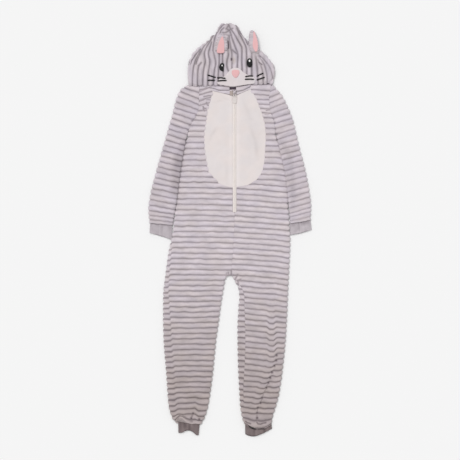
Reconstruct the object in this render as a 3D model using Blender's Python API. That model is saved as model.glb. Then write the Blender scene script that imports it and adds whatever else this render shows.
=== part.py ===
"""Child's hooded onesie pajama in ribbed plush, laid flat with its front up.

Metres, +Z up off the surface that it lies on, +Y towards the hood, +X towards the wearer's left.
Every cloth piece is a wall lofted through sections: a closed ring of columns, each column a line of
points with one point for each row that it takes part in.
"""

from math import cos, pi, sin, sqrt

import bmesh
import bpy
import numpy as np

# Cloth, from the surface upwards
BACK_WALL = 0.0040
SEAM_GAP = 0.0003
GROOVE_WALL = 0.0030
RIB_HEIGHT = 0.0032
RIB_PITCH = 0.01741
RIB_SHOULDER = 0.22
INSIDE = BACK_WALL + SEAM_GAP
CREST = INSIDE + GROOVE_WALL + RIB_HEIGHT
FOLD_ROLL = 0.008
SEAM_ROLL = 0.0015
RIB_FRACTIONS = (0.0, RIB_SHOULDER, 1 - RIB_SHOULDER)
FINE_FRACTIONS = (0.0, 0.11, RIB_SHOULDER, 0.4, 0.6, 1 - RIB_SHOULDER, 0.89)

# Body
SHOULDER_Y = 0.4660
ANKLE_Y = -0.618
FIRST_GROOVE_Y = 0.4490
GROOVES = 62
CROTCH_Y = -0.122
UNDERARM_Y = 0.316
DROOP_START_X = 0.025
DROOP_SLOPE = 0.115
DROOP_FADE = 0.08

# Zip and bib
ZIP_X = 0.0147
ZIP_WIDTH = 0.0125
ZIP_TOP_Y = 0.441
ZIP_END_Y = 0.054
ZIP_POINT = 0.010
TAPE_TOP = 0.0080
CHAIN_TOP = 0.0098
CHAIN_WIDTH = 0.0050
BIB_TOP = 0.0092
BIB_BOTTOM_Y = 0.1373

# Sleeves
SLEEVE_RIBS = 26
ARMHOLE_GAP = 0.0009
OVERLAP_LIFT = CREST + SEAM_GAP
OVERLAP_RAMP = 0.025
LIFT_Y = (0.310, 0.2845)
LIFT_END_Y = (0.078, 0.030)

# Cuffs
CUFF_WALL = 0.0026
CUFF_ROLL = 0.0035

# Hood
HOOD_RIBS = 17
HOOD_EDGE = 0.006
HOOD_MIDDLE = 0.0108
HOOD_RAMP = 0.025
SHOULDER_RAMP = 0.02
HOOD_BULGE = 0.0045
HOOD_LEAN = 1.5
HOOD_STATIONS = (0.16, 0.3, 0.5, 0.8, 0.93)
HOOD_TOP = HOOD_MIDDLE + GROOVE_WALL + RIB_HEIGHT
NECK_CLEAR_Y = SHOULDER_Y + 0.0012
BAND_HEIGHT = 0.0042
MUZZLE_HEIGHT = 0.0020
NOSE_HEIGHT = 0.0024
EYE_HEIGHT = 0.0011
EAR_HEIGHT = 0.0050
EAR_INNER_HEIGHT = 0.0012

# Slider and pull
SLIDER_WIDTH = 0.0084
SLIDER_Y = (0.4300, 0.4322, 0.4388, 0.4410, 0.4440)
SLIDER_PLATE = (CHAIN_TOP + SEAM_GAP, 0.0131)
BRIDGE_WIDTH = 0.0024
BRIDGE_BAR = (0.0156, 0.0168)
PULL_AXIS = (0.4345, 0.0143)
PULL_THICKNESS = 0.0014

# how far the bib's top and the neckline dip to the zip, on the side towards -X and towards +X
NECK_DIPS = {-1: (0.0150, 0.0225), 1: (0.0200, 0.0235)}

# y, x of a side edge: the armhole comes first, then the fold below the sleeve
RIGHT_SIDE = (
    (0.4605, -0.0970), (0.4250, -0.0990), (0.3930, -0.1000), (0.3645, -0.1080), (0.3485, -0.1180),
    (0.3325, -0.1256), (0.3160, -0.1330), (0.2940, -0.1370), (0.2720, -0.1500), (0.2360, -0.1660),
    (0.1690, -0.1740), (0.1020, -0.1770), (0.0800, -0.1755), (0.0540, -0.1760), (0.0160, -0.1805),
    (-0.0160, -0.1845), (-0.0700, -0.1963), (-0.1390, -0.2056), (-0.2080, -0.2133), (-0.2780, -0.2139),
    (-0.3470, -0.2123), (-0.4590, -0.2037), (-0.5280, -0.1992), (-0.5630, -0.1950), (-0.5980, -0.1840),
    (-0.6180, -0.1710),
)
LEFT_SIDE = (
    (0.4605, 0.1307), (0.4250, 0.1250), (0.3930, 0.1270), (0.3645, 0.1342), (0.3485, 0.1387),
    (0.3325, 0.1416), (0.3160, 0.1450), (0.2940, 0.1490), (0.2720, 0.1620), (0.2360, 0.1780),
    (0.1820, 0.1870), (0.1150, 0.1900), (0.0800, 0.1865), (0.0540, 0.1885), (0.0160, 0.1900),
    (-0.0360, 0.1925), (-0.1040, 0.1900), (-0.1740, 0.1864), (-0.2780, 0.1820), (-0.3470, 0.1780),
    (-0.4590, 0.1666), (-0.5280, 0.1560), (-0.5630, 0.1470), (-0.5980, 0.1360), (-0.6180, 0.1317),
)
# y, x of the seam between the halves, then of each leg's inner edge from the crotch down
CENTRE_SEAM = ((0.4605, 0.0147), (0.0540, 0.0147), (-0.0500, 0.0105), (-0.1220, 0.0050))
RIGHT_LEG = (
    (-0.1220, 0.0050), (-0.1350, 0.0010),
    (-0.1490, -0.0114), (-0.1670, -0.0168), (-0.1950, -0.0220), (-0.2430, -0.0296), (-0.3130, -0.0389),
    (-0.3470, -0.0440), (-0.4590, -0.0552), (-0.5280, -0.0645), (-0.5630, -0.0718), (-0.5980, -0.0834),
    (-0.6180, -0.0920),
)
LEFT_LEG = (
    (-0.1220, 0.0050), (-0.1350, 0.0064),
    (-0.1490, 0.0091), (-0.1670, 0.0168), (-0.1790, 0.0245), (-0.1950, 0.0286), (-0.2150, 0.0305),
    (-0.2430, 0.0277), (-0.2780, 0.0258), (-0.3130, 0.0242), (-0.3900, 0.0248), (-0.4590, 0.0270),
    (-0.5280, 0.0306), (-0.5630, 0.0328), (-0.5980, 0.0382), (-0.6180, 0.0443),
)
# y, bib edge
BIB_RIGHT = (
    (0.4439, -0.0535), (0.4100, -0.0610), (0.3790, -0.0710), (0.3410, -0.0760), (0.2990, -0.0810),
    (0.2650, -0.0800), (0.2230, -0.0740), (0.1880, -0.0670), (0.1680, -0.0500), (0.1470, -0.0290),
    (0.1390, -0.0050), (0.1373, 0.0080),
)
BIB_LEFT = (
    (0.4490, 0.0640), (0.4170, 0.0830), (0.3890, 0.0940), (0.3620, 0.1040), (0.3310, 0.1110),
    (0.2960, 0.1130), (0.2580, 0.1110), (0.2230, 0.1090), (0.1950, 0.1040), (0.1740, 0.0940),
    (0.1540, 0.0730), (0.1450, 0.0520), (0.1385, 0.0300), (0.1373, 0.0215),
)
# outer edge x and y, inner edge x and y, from the shoulder to the wrist
SLEEVE_RIGHT = (
    (-0.1335, 0.4655, -0.0980, 0.4600), (-0.1580, 0.4480, -0.0997, 0.4250),
    (-0.1730, 0.4160, -0.1010, 0.3900), (-0.1850, 0.3680, -0.1195, 0.3470),
    (-0.2010, 0.3130, -0.1390, 0.2940), (-0.2170, 0.2560, -0.1500, 0.2370),
    (-0.2370, 0.1850, -0.1610, 0.1680), (-0.2540, 0.1180, -0.1690, 0.1005),
    (-0.2610, 0.0670, -0.1770, 0.0540), (-0.2574, 0.0227, -0.1830, 0.0163),
)
SLEEVE_LEFT = (
    (0.1365, 0.4655, 0.1310, 0.4610), (0.1650, 0.4320, 0.1262, 0.4157),
    (0.1840, 0.3965, 0.1290, 0.3770), (0.2020, 0.3485, 0.1410, 0.3310),
    (0.2120, 0.3070, 0.1510, 0.2890), (0.2240, 0.2570, 0.1620, 0.2400),
    (0.2390, 0.2000, 0.1750, 0.1820), (0.2520, 0.1340, 0.1830, 0.1150),
    (0.2590, 0.0765, 0.1900, 0.0570), (0.2574, 0.0320, 0.1925, 0.0210),
)
# share of the width from the low-x end, top edge y, upper layer's hem y, lower layer's hem y
SLEEVE_CUFF_RIGHT = (
    (0.0, 0.0221, -0.0086, -0.0080), (0.5, 0.0191, -0.0180, -0.0200), (1.0, 0.0162, -0.0314, -0.0300),
)
SLEEVE_CUFF_LEFT = (
    (0.0, 0.0209, -0.0160, -0.0150), (0.5, 0.0262, -0.0085, -0.0100), (1.0, 0.0315, 0.0016, 0.0020),
)
LEG_CUFF_RIGHT = (
    (0.0, -0.6184, -0.6493, -0.6480), (0.4, -0.6184, -0.6397, -0.6420), (1.0, -0.6184, -0.6547, -0.6530),
)
LEG_CUFF_LEFT = (
    (0.0, -0.6184, -0.6291, -0.6530), (0.3, -0.6184, -0.6400, -0.6610), (1.0, -0.6184, -0.6250, -0.6360),
)
# share of the way round, x, y
HOOD_OUTLINE = (
    (0.00, -0.130, 0.544), (0.10, -0.115, 0.571), (0.20, -0.091, 0.592), (0.30, -0.067, 0.612),
    (0.40, -0.043, 0.640), (0.48, -0.025, 0.660), (0.56, 0.010, 0.661), (0.64, 0.034, 0.638),
    (0.70, 0.047, 0.617), (0.76, 0.064, 0.601), (0.84, 0.096, 0.577), (0.92, 0.122, 0.553),
    (1.00, 0.142, 0.524),
)
HOOD_HEM = (
    (0.00, -0.130, 0.4600), (0.16, -0.086, 0.4565), (0.34, -0.038, 0.4600), (0.50, 0.007, 0.4560),
    (0.68, 0.055, 0.4625), (0.86, 0.103, 0.4640), (1.00, 0.135, 0.4660),
)
# ridge or trough on the hood: start x and y, end x and y, half width, height
HOOD_FOLDS = (
    (0.0060, 0.6100, 0.0040, 0.5750, 0.005, -0.0030),
    (-0.0250, 0.6500, 0.0000, 0.6250, 0.007, 0.0030),
    (0.0050, 0.6550, 0.0300, 0.6250, 0.007, 0.0030),
    (-0.0150, 0.6400, 0.0150, 0.6300, 0.006, -0.0025),
    (0.0900, 0.5600, 0.1350, 0.5200, 0.010, 0.0020),
    (-0.0900, 0.5300, -0.0800, 0.5700, 0.010, 0.0015),
)
# x, lower edge y
BAND_RIGHT = ((-0.0640, 0.4545), (-0.0520, 0.4515), (-0.0360, 0.4464), (-0.0180, 0.4454), (-0.0011, 0.4454))
BAND_LEFT = ((0.0194, 0.4425), (0.0376, 0.4445), (0.0558, 0.4528), (0.0660, 0.4590))
# outlines: x, y
MUZZLE = (
    (-0.040, 0.474), (-0.038, 0.465), (-0.016, 0.4605), (0.007, 0.4575), (0.030, 0.4600), (0.055, 0.4640),
    (0.079, 0.468), (0.081, 0.481), (0.061, 0.495), (0.043, 0.504), (0.031, 0.515), (0.018, 0.518),
    (0.005, 0.515), (-0.006, 0.504), (-0.019, 0.486),
)
NOSE = (
    (0.0178, 0.4850), (0.0245, 0.4890), (0.0295, 0.4975), (0.0300, 0.5060), (0.0260, 0.5100),
    (0.0178, 0.5108), (0.0096, 0.5100), (0.0056, 0.5060), (0.0061, 0.4975), (0.0111, 0.4890),
)
EYE_RIGHT = (-0.0264, 0.5197, 0.0072, 0.0122)
EYE_LEFT = (0.0622, 0.5331, 0.0088, 0.0144)
EYE_SIDES = 16
EAR_RIGHT = (
    (-0.045, 0.560), (-0.013, 0.560), (-0.008, 0.575), (-0.007, 0.590), (-0.010, 0.606), (-0.018, 0.620),
    (-0.029, 0.628), (-0.038, 0.618), (-0.045, 0.604), (-0.048, 0.590), (-0.048, 0.575),
)
EAR_INNER_RIGHT = (
    (-0.041, 0.565), (-0.020, 0.565), (-0.018, 0.580), (-0.0185, 0.598), (-0.021, 0.611), (-0.024, 0.618),
    (-0.030, 0.610), (-0.036, 0.597), (-0.040, 0.581),
)
EAR_LEFT = (
    (0.070, 0.552), (0.090, 0.552), (0.0925, 0.575), (0.091, 0.597), (0.088, 0.614), (0.081, 0.631),
    (0.071, 0.639), (0.063, 0.633), (0.060, 0.615), (0.060, 0.595), (0.064, 0.573),
)
EAR_INNER_LEFT = (
    (0.0805, 0.569), (0.0870, 0.571), (0.0890, 0.585), (0.0885, 0.598), (0.0850, 0.615), (0.0785, 0.632),
    (0.0748, 0.632), (0.0740, 0.612), (0.0725, 0.597), (0.0730, 0.583),
)
EAR_SEAT = 0.0009
EAR_DROOP_Y = 0.552
EAR_DROOP_SEAT = 0.0209
EAR_DROOP_SLOPE = 0.161
LABEL = (-0.0025, 0.0185, 0.4505, 0.4570)
LABEL_HEIGHT = 0.0008

# Colours, linear
PLUSH = (0.56, 0.50, 0.55)
CUFF_KNIT = (0.36, 0.32, 0.34)
CREAM = (0.76, 0.68, 0.66)
PINK = (0.76, 0.42, 0.44)
BLACK = (0.012, 0.012, 0.012)
LABEL_DARK = (0.12, 0.10, 0.13)
SLIDER_METAL = (0.45, 0.38, 0.33)


def clear_scene():
    for obj in list(bpy.data.objects):
        bpy.data.objects.remove(obj, do_unlink=True)


def material(name, colour, roughness=0.9, metallic=0.0):
    made = bpy.data.materials.new(name)
    made.use_nodes = True
    shader = made.node_tree.nodes["Principled BSDF"]
    shader.inputs["Base Color"].default_value = (*colour, 1.0)
    shader.inputs["Roughness"].default_value = roughness
    shader.inputs["Metallic"].default_value = metallic
    return made


def smooth_step(t):
    t = min(max(t, 0.0), 1.0)
    return t * t * (3 - 2 * t)


def blend(a, b, t):
    return a + (b - a) * t


def curve(pairs):
    """A smooth curve through (key, value) pairs that never overshoots between two of them."""
    keys, values = np.array(sorted(pairs)).T
    steps = np.diff(keys)
    slopes = np.diff(values) / steps
    tangents = np.zeros(len(keys))
    tangents[0], tangents[-1] = slopes[0], slopes[-1]
    for i in range(1, len(keys) - 1):
        if slopes[i - 1] * slopes[i] > 0:
            tangents[i] = 2 * slopes[i - 1] * slopes[i] / (slopes[i - 1] + slopes[i])

    def value(key):
        key = min(max(key, keys[0]), keys[-1])
        i = min(max(int(np.searchsorted(keys, key)) - 1, 0), len(steps) - 1)
        t = (key - keys[i]) / steps[i]
        return float(
            (1 + 2 * t) * (1 - t) ** 2 * values[i]
            + t * (1 - t) ** 2 * steps[i] * tangents[i]
            + t * t * (3 - 2 * t) * values[i + 1]
            + t * t * (t - 1) * steps[i] * tangents[i + 1]
        )

    return value


def table_curves(table):
    """One curve for each further column of the table, over its first column."""
    return [curve([(row[0], row[c]) for row in table]) for c in range(1, len(table[0]))]


def rib(fraction):
    """Rib height, 0 in a groove and 1 on top, at a fraction of the pitch."""
    fraction = fraction % 1.0
    return min(1.0, fraction / RIB_SHOULDER, (1 - fraction) / RIB_SHOULDER)


def stitch(mesh, one, other):
    """Triangles between two columns, each a list of (row, vertex) that starts and ends on the same rows.
    Where both step to one row, the shorter diagonal is taken."""
    i = j = 0
    while i < len(one) - 1 or j < len(other) - 1:
        next_one = one[i + 1][0] if i < len(one) - 1 else one[-1][0] + 1
        next_other = other[j + 1][0] if j < len(other) - 1 else other[-1][0] + 1
        step_one = next_one < next_other
        if next_one == next_other:
            across = (one[i + 1][1].co - other[j][1].co).length
            step_one = across < (one[i][1].co - other[j + 1][1].co).length
        if step_one:
            mesh.faces.new((one[i][1], one[i + 1][1], other[j][1]))
            i += 1
        else:
            mesh.faces.new((one[i][1], other[j + 1][1], other[j][1]))
            j += 1


def finish(name, mesh, finish_material):
    """Turns the bmesh into an object whose faces point out."""
    bmesh.ops.triangulate(mesh, faces=[f for f in mesh.faces if len(f.verts) > 4])
    bmesh.ops.recalc_face_normals(mesh, faces=mesh.faces)
    data = bpy.data.meshes.new(name)
    mesh.to_mesh(data)
    mesh.free()
    data.materials.append(finish_material)
    data.shade_smooth()
    data.set_sharp_from_angle(angle=pi / 4)
    obj = bpy.data.objects.new(name, data)
    bpy.context.collection.objects.link(obj)
    return obj


def loft(name, rows, columns, finish_material, cap_groups=None):
    """A closed wall. Each column is (rank, place): it has a point on each row whose rank is no higher,
    and on the first and last rows, and place(row) gives that point. Each end is closed by one face,
    or by one for each group of columns."""
    mesh = bmesh.new()
    lines = []
    for rank, place in columns:
        chosen = [i for i, row in enumerate(rows) if row["rank"] <= rank or i in (0, len(rows) - 1)]
        lines.append([(i, mesh.verts.new(place(rows[i]))) for i in chosen])
    for one, other in zip(lines, lines[1:] + lines[:1]):
        stitch(mesh, one, other)
    for end in (0, -1):
        for group in cap_groups or [range(len(lines))]:
            mesh.faces.new([lines[i][end][1] for i in group])
    return finish(name, mesh, finish_material)


def folded_caps(count, pairs):
    """Cap groups for a ring of columns whose second half comes back over the same stations."""
    return [(i, i + 1, count - 2 - i, count - 1 - i) for i in range(pairs)] + [range(pairs, count - pairs)]


def leaf(name, outline, inset, bottom, height, finish_material):
    """A thin piece with an outline, rounded at its upper edge, lying on bottom(x, y)."""
    centre = np.mean(outline, axis=0)
    ring = [np.array(point) for point in outline]
    shrunk = [point + (centre - point) * min(inset / np.linalg.norm(centre - point), 0.5) for point in ring]
    inner = [blend(point, centre, 0.5) for point in ring]
    layers = ((ring, 0.0), (ring, 0.45), (shrunk, 0.92), (inner, 1.0))
    mesh = bmesh.new()
    loops = [
        [mesh.verts.new((x, y, bottom(x, y) + share * height)) for x, y in points]
        for points, share in layers
    ]
    low = [mesh.verts.new((x, y, bottom(x, y))) for x, y in inner]
    count = len(ring)
    for one, other in ((low, loops[0]), (loops[0], loops[1]), (loops[1], loops[2]), (loops[2], loops[3])):
        for i in range(count):
            j = (i + 1) % count
            mesh.faces.new((one[i], one[j], other[j], other[i]))
    for fan in (low, loops[3]):
        x, y = centre
        middle = mesh.verts.new((x, y, bottom(x, y) + (0 if fan is low else height)))
        for i in range(count):
            mesh.faces.new((fan[i], fan[(i + 1) % count], middle))
    return finish(name, mesh, finish_material)


def droop(x, level):
    """How far a body rib hangs below its level: the ribs fall away towards the wearer's left."""
    window = smooth_step((SHOULDER_Y - level) / DROOP_FADE) * smooth_step((level - ANKLE_Y) / DROOP_FADE)
    return DROOP_SLOPE * max(0.0, x - DROOP_START_X) * window


def by_level(table):
    """The table's outline as x over the level of the rib that meets it."""
    return curve([(y + droop(x, y), x) for y, x in table])


def body_rows(strip_level=None):
    """Rows from shoulder to ankle: rank 0 in a groove, rank 1 on a rib. The bib's ends have extra rows."""
    levels = [(SHOULDER_Y, 0), (FIRST_GROOVE_Y + RIB_SHOULDER * RIB_PITCH, 1)]
    for groove in range(GROOVES):
        top = FIRST_GROOVE_Y - groove * RIB_PITCH
        near_bib = strip_level is not None and abs(top - RIB_PITCH - BIB_BOTTOM_Y) < RIB_PITCH * 1.6
        for fraction in FINE_FRACTIONS if near_bib else RIB_FRACTIONS:
            level = top - fraction * RIB_PITCH
            if level > ANKLE_Y + 0.0005:
                levels.append((level, 0 if fraction == 0 else 1))
    levels.append((ANKLE_Y, 0))
    if strip_level is not None:
        levels += [(strip_level, 0), (strip_level - 0.0006, 0)]
    return [
        {"level": level, "rank": rank, "rib": rib((FIRST_GROOVE_Y - level) / RIB_PITCH)}
        for level, rank in sorted(levels, reverse=True)
    ]


class Panel:
    """One body panel's outline: its side edge, its inner edge and how each edge is rolled."""

    def __init__(self, side_table, leg_table, toward_side, bib_table=None, strip_level=None):
        self.side = by_level(side_table)
        self.centre = by_level(CENTRE_SEAM)
        self.leg = by_level(leg_table)
        self.toward_side = toward_side
        self.bib = by_level(bib_table) if bib_table else None
        self.strip_level = strip_level
        self.bib_corner = bib_table[0][1] if bib_table else None
        self.dips = NECK_DIPS[toward_side]

    def inner_x(self, level):
        """The seam with the other half, or with the zip and the bib, half a gap short of it."""
        x = self.centre(level) if level > CROTCH_Y else self.leg(level)
        if self.bib is None:
            return x + self.toward_side * SEAM_GAP / 2
        if BIB_BOTTOM_Y + 0.0002 < level < self.strip_level:
            return self.bib(level)
        zip_half = ZIP_WIDTH / 2 * smooth_step((level - ZIP_END_Y + SEAM_GAP) / ZIP_POINT)
        return x + self.toward_side * (zip_half + SEAM_GAP / 2)

    def point(self, row, edge, roll_share, z, z_seam):
        """A point of the section: edge is side or inner, roll_share is 0 at the edge and 1 on the flat."""
        level = row["level"]
        if edge == "side":
            x_edge, inward = self.side(level), -self.toward_side
            free = smooth_step((UNDERARM_Y - level + 0.004) / 0.014)
        else:
            x_edge, inward = self.inner_x(level), self.toward_side
            free = smooth_step((CROTCH_Y - level) / 0.03)
        angle = roll_share * pi / 2
        roll = blend(SEAM_ROLL, FOLD_ROLL, free)
        inset = free * RIB_HEIGHT * (1 - row["rib"])
        x = x_edge + inward * (roll * (1 - cos(angle)) + inset * cos(angle))
        return (x, self.y(x, level), blend(z_seam, z, sin(angle)))

    def dip(self, x, level):
        """The dip of the neckline towards the zip, least along the bib's top edge."""
        height = (level - self.strip_level) / (SHOULDER_Y - self.strip_level)
        near_zip = max(0.0, 1 - abs(x - ZIP_X) / abs(self.bib_corner - ZIP_X))
        return blend(self.dips[0], self.dips[1], max(height, 0.0)) * near_zip

    def in_strip(self, level):
        """Whether the level is in the strip of ribbed cloth between the bib and the neckline."""
        return self.strip_level is not None and level > self.strip_level - 0.0003

    def y(self, x, level):
        return level - droop(x, level) - (self.dip(x, level) if self.in_strip(level) else 0.0)

    def middle(self, row, z):
        """A point halfway across the flat, or above the bib's corner, where the neckline bends."""
        start = self.point(row, "side", 1.0, z, z)[0]
        end = self.point(row, "inner", 1.0, z, z)[0]
        x = (start + end) / 2
        if self.in_strip(row["level"]):
            x = self.bib_corner + self.toward_side * SEAM_ROLL
        return (x, self.y(x, row["level"]), z)


def top_z(row):
    return CREST - RIB_HEIGHT * (1 - row["rib"])


def make_front(name, panel, plush):
    rows = body_rows(panel.strip_level)
    columns = [
        (1, lambda row: panel.point(row, "side", 0.0, top_z(row), INSIDE)),
        (1, lambda row: panel.point(row, "side", 0.5, top_z(row), INSIDE)),
        (1, lambda row: panel.point(row, "side", 1.0, top_z(row), INSIDE)),
        (1, lambda row: panel.middle(row, top_z(row))),
        (1, lambda row: panel.point(row, "inner", 1.0, top_z(row), INSIDE)),
        (1, lambda row: panel.point(row, "inner", 0.5, top_z(row), INSIDE)),
        (1, lambda row: panel.point(row, "inner", 0.0, top_z(row), INSIDE)),
        (0, lambda row: panel.middle(row, INSIDE)),
    ]
    return loft(name, rows, columns, plush)


def make_back(name, panel, plush):
    rows = body_rows()
    columns = [
        (1, lambda row: panel.point(row, "side", 0.0, 0.0, BACK_WALL)),
        (1, lambda row: panel.point(row, "side", 0.5, 0.0, BACK_WALL)),
        (0, lambda row: panel.point(row, "side", 1.0, 0.0, BACK_WALL)),
        (0, lambda row: panel.point(row, "inner", 1.0, 0.0, BACK_WALL)),
        (1, lambda row: panel.point(row, "inner", 0.0, 0.0, BACK_WALL)),
    ]
    return loft(name, rows, columns, plush)


def make_bib(name, panel, cream):
    """The bib half fills the cut-out: its edge is the panel's own edge, moved in by the seam gap."""
    rows = [
        row
        for row in body_rows(panel.strip_level)
        if BIB_BOTTOM_Y + 0.0004 < row["level"] < panel.strip_level - 0.0003
    ]
    zip_edge = ZIP_X + panel.toward_side * (ZIP_WIDTH / 2 + SEAM_GAP)
    inward = -panel.toward_side
    corner_y = rows[0]["level"]

    def place(share, z):
        def at(row):
            slope = (panel.bib(row["level"] + 0.0005) - panel.bib(row["level"] - 0.0005)) / 0.001
            edge = panel.bib(row["level"]) + inward * SEAM_GAP * 1.3 * sqrt(1 + slope * slope)
            edge = zip_edge - inward * 0.0006 if (zip_edge - edge) * inward < 0.0006 else edge
            x = blend(edge, zip_edge, share)
            depth = smooth_step(1 - (corner_y - row["level"]) / 0.06)
            return (x, panel.y(x, row["level"]) - (panel.dip(x, corner_y) + 3.5 * SEAM_GAP) * depth, z)

        return at

    columns = [
        (1, place(0.0, INSIDE)),
        (1, place(0.0, BIB_TOP - 0.0015)),
        (1, place(0.05, BIB_TOP)),
        (0, place(0.5, BIB_TOP)),
        (0, place(0.96, BIB_TOP)),
        (0, place(1.0, BIB_TOP - 0.0012)),
        (0, place(1.0, INSIDE)),
    ]
    return loft(name, rows, columns, cream)


def make_zip(name, cream):
    """Both tapes and the closed chain between them, down to the pointed end."""
    stations = np.linspace(ZIP_TOP_Y, ZIP_END_Y + ZIP_POINT + 0.002, 12)
    rows = [{"y": y, "rank": 0, "share": 1.0} for y in stations]
    rows.append({"y": ZIP_END_Y + ZIP_POINT * 0.55, "rank": 0, "share": 0.5})
    rows.append({"y": ZIP_END_Y + 0.002, "rank": 0, "share": 0.06})
    half = ZIP_WIDTH / 2 - SEAM_GAP

    def place(side, width, z):
        return lambda row: (ZIP_X + side * width * row["share"], row["y"], z)

    profile = (
        (-1, half, INSIDE), (-1, half, TAPE_TOP), (-1, CHAIN_WIDTH / 2, TAPE_TOP + 0.0003),
        (-1, CHAIN_WIDTH / 3, CHAIN_TOP), (1, CHAIN_WIDTH / 3, CHAIN_TOP),
        (1, CHAIN_WIDTH / 2, TAPE_TOP + 0.0003), (1, half, TAPE_TOP), (1, half, INSIDE),
    )
    return loft(name, rows, [(0, place(*corner)) for corner in profile], cream)


class Sleeve:
    """A folded sleeve: row lines run from its outer fold to its seam, at the armhole and over the body."""

    def __init__(self, table, side_table, toward_side):
        middles = [np.array([(r[0] + r[2]) / 2, (r[1] + r[3]) / 2]) for r in table]
        lengths = np.cumsum([0.0] + [np.linalg.norm(b - a) for a, b in zip(middles, middles[1:])])
        self.shares = lengths / lengths[-1]
        self.lines = [curve(list(zip(self.shares, [row[c] for row in table]))) for c in range(4)]
        self.armhole = curve([(y, x) for y, x in side_table])
        self.toward_side = toward_side

    def rows(self):
        starts = range(SLEEVE_RIBS)
        shares = [(start + fraction) / SLEEVE_RIBS for start in starts for fraction in RIB_FRACTIONS]
        rows = []
        for index, share in enumerate(shares + [1.0]):
            groove, on_groove = divmod(index, len(RIB_FRACTIONS))
            rank = 2 if on_groove else (0 if groove % 3 == 0 else 1)
            outer = np.array([self.lines[0](share), self.lines[1](share)])
            inner = np.array([self.lines[2](share), self.lines[3](share)])
            limit = self.armhole(inner[1]) + self.toward_side * ARMHOLE_GAP
            inside_body = (limit - inner[0]) * self.toward_side > 0
            if inner[1] > UNDERARM_Y or (inner[1] > LIFT_Y[1] and inside_body):
                inner[0] = limit
            rows.append({"rank": rank, "rib": rib(share * SLEEVE_RIBS), "outer": outer, "inner": inner})
        return rows

    def lift(self, x, y):
        """Height of the sleeve's underside, which lies on the body's folded edge below the underarm."""
        past_underarm = smooth_step((LIFT_Y[0] - y) / (LIFT_Y[0] - LIFT_Y[1]))
        before_wrist = smooth_step((y - LIFT_END_Y[1]) / (LIFT_END_Y[0] - LIFT_END_Y[1]))
        inward = (self.armhole(y) - x) * self.toward_side
        over_body = smooth_step((inward + OVERLAP_RAMP) / OVERLAP_RAMP)
        return OVERLAP_LIFT * past_underarm * before_wrist * over_body

    def place(self, row, share, edge, roll_share, height, seam_height):
        """share runs from the outer fold to the seam; near an edge, roll_share rounds the section."""
        line = row["inner"] - row["outer"]
        width = float(np.linalg.norm(line))
        free = smooth_step((UNDERARM_Y - row["inner"][1] + 0.004) / 0.014)
        outer_roll = min(FOLD_ROLL, 0.35 * width)
        inner_roll = min(blend(SEAM_ROLL, FOLD_ROLL, free), 0.35 * width)
        angle = roll_share * pi / 2
        inset = RIB_HEIGHT * (1 - row["rib"]) * cos(angle)
        if edge == "outer":
            along = outer_roll * (1 - cos(angle)) + inset
        elif edge == "inner":
            along = width - inner_roll * (1 - cos(angle)) - inset * free
        else:
            along = blend(outer_roll, width - inner_roll, share)
        x, y = row["outer"] + line * along / width
        z = blend(seam_height, height, sin(angle) if edge else 1.0)
        return (float(x), float(y), self.lift(x, y) + z)


def make_sleeve(name, sleeve, plush):
    middle = (BACK_WALL + INSIDE) / 2

    def at(rank, share, edge, roll_share, height, seam_height):
        return (
            rank,
            lambda row: sleeve.place(
                row, share, edge, roll_share, height(row) if callable(height) else height, seam_height
            ),
        )

    columns = [
        at(2, 0, "inner", 0.0, top_z, INSIDE),
        at(2, 0, "inner", 0.5, top_z, INSIDE),
        at(2, 0, "inner", 1.0, top_z, INSIDE),
        at(2, 0.75, None, 1.0, top_z, INSIDE),
        at(2, 0.50, None, 1.0, top_z, INSIDE),
        at(2, 0, "outer", 1.0, top_z, middle),
        at(2, 0, "outer", 0.5, top_z, middle),
        at(2, 0, "outer", 0.0, top_z, middle),
        at(1, 0, "outer", 0.5, 0.0, middle),
        at(1, 0, "outer", 1.0, 0.0, middle),
        at(1, 0.50, None, 1.0, 0.0, middle),
        at(1, 0.75, None, 1.0, 0.0, middle),
        at(1, 0, "inner", 1.0, 0.0, BACK_WALL),
        at(1, 0, "inner", 0.0, 0.0, BACK_WALL),
        at(0, 0.75, None, 1.0, BACK_WALL, 0.0),
        at(0, 0.50, None, 1.0, BACK_WALL, 0.0),
        at(0, 0.0, None, 1.0, middle, 0.0),
        at(0, 0.50, None, 1.0, INSIDE, 0.0),
        at(0, 0.75, None, 1.0, INSIDE, 0.0),
    ]
    return loft(name, sleeve.rows(), columns, plush)


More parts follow.
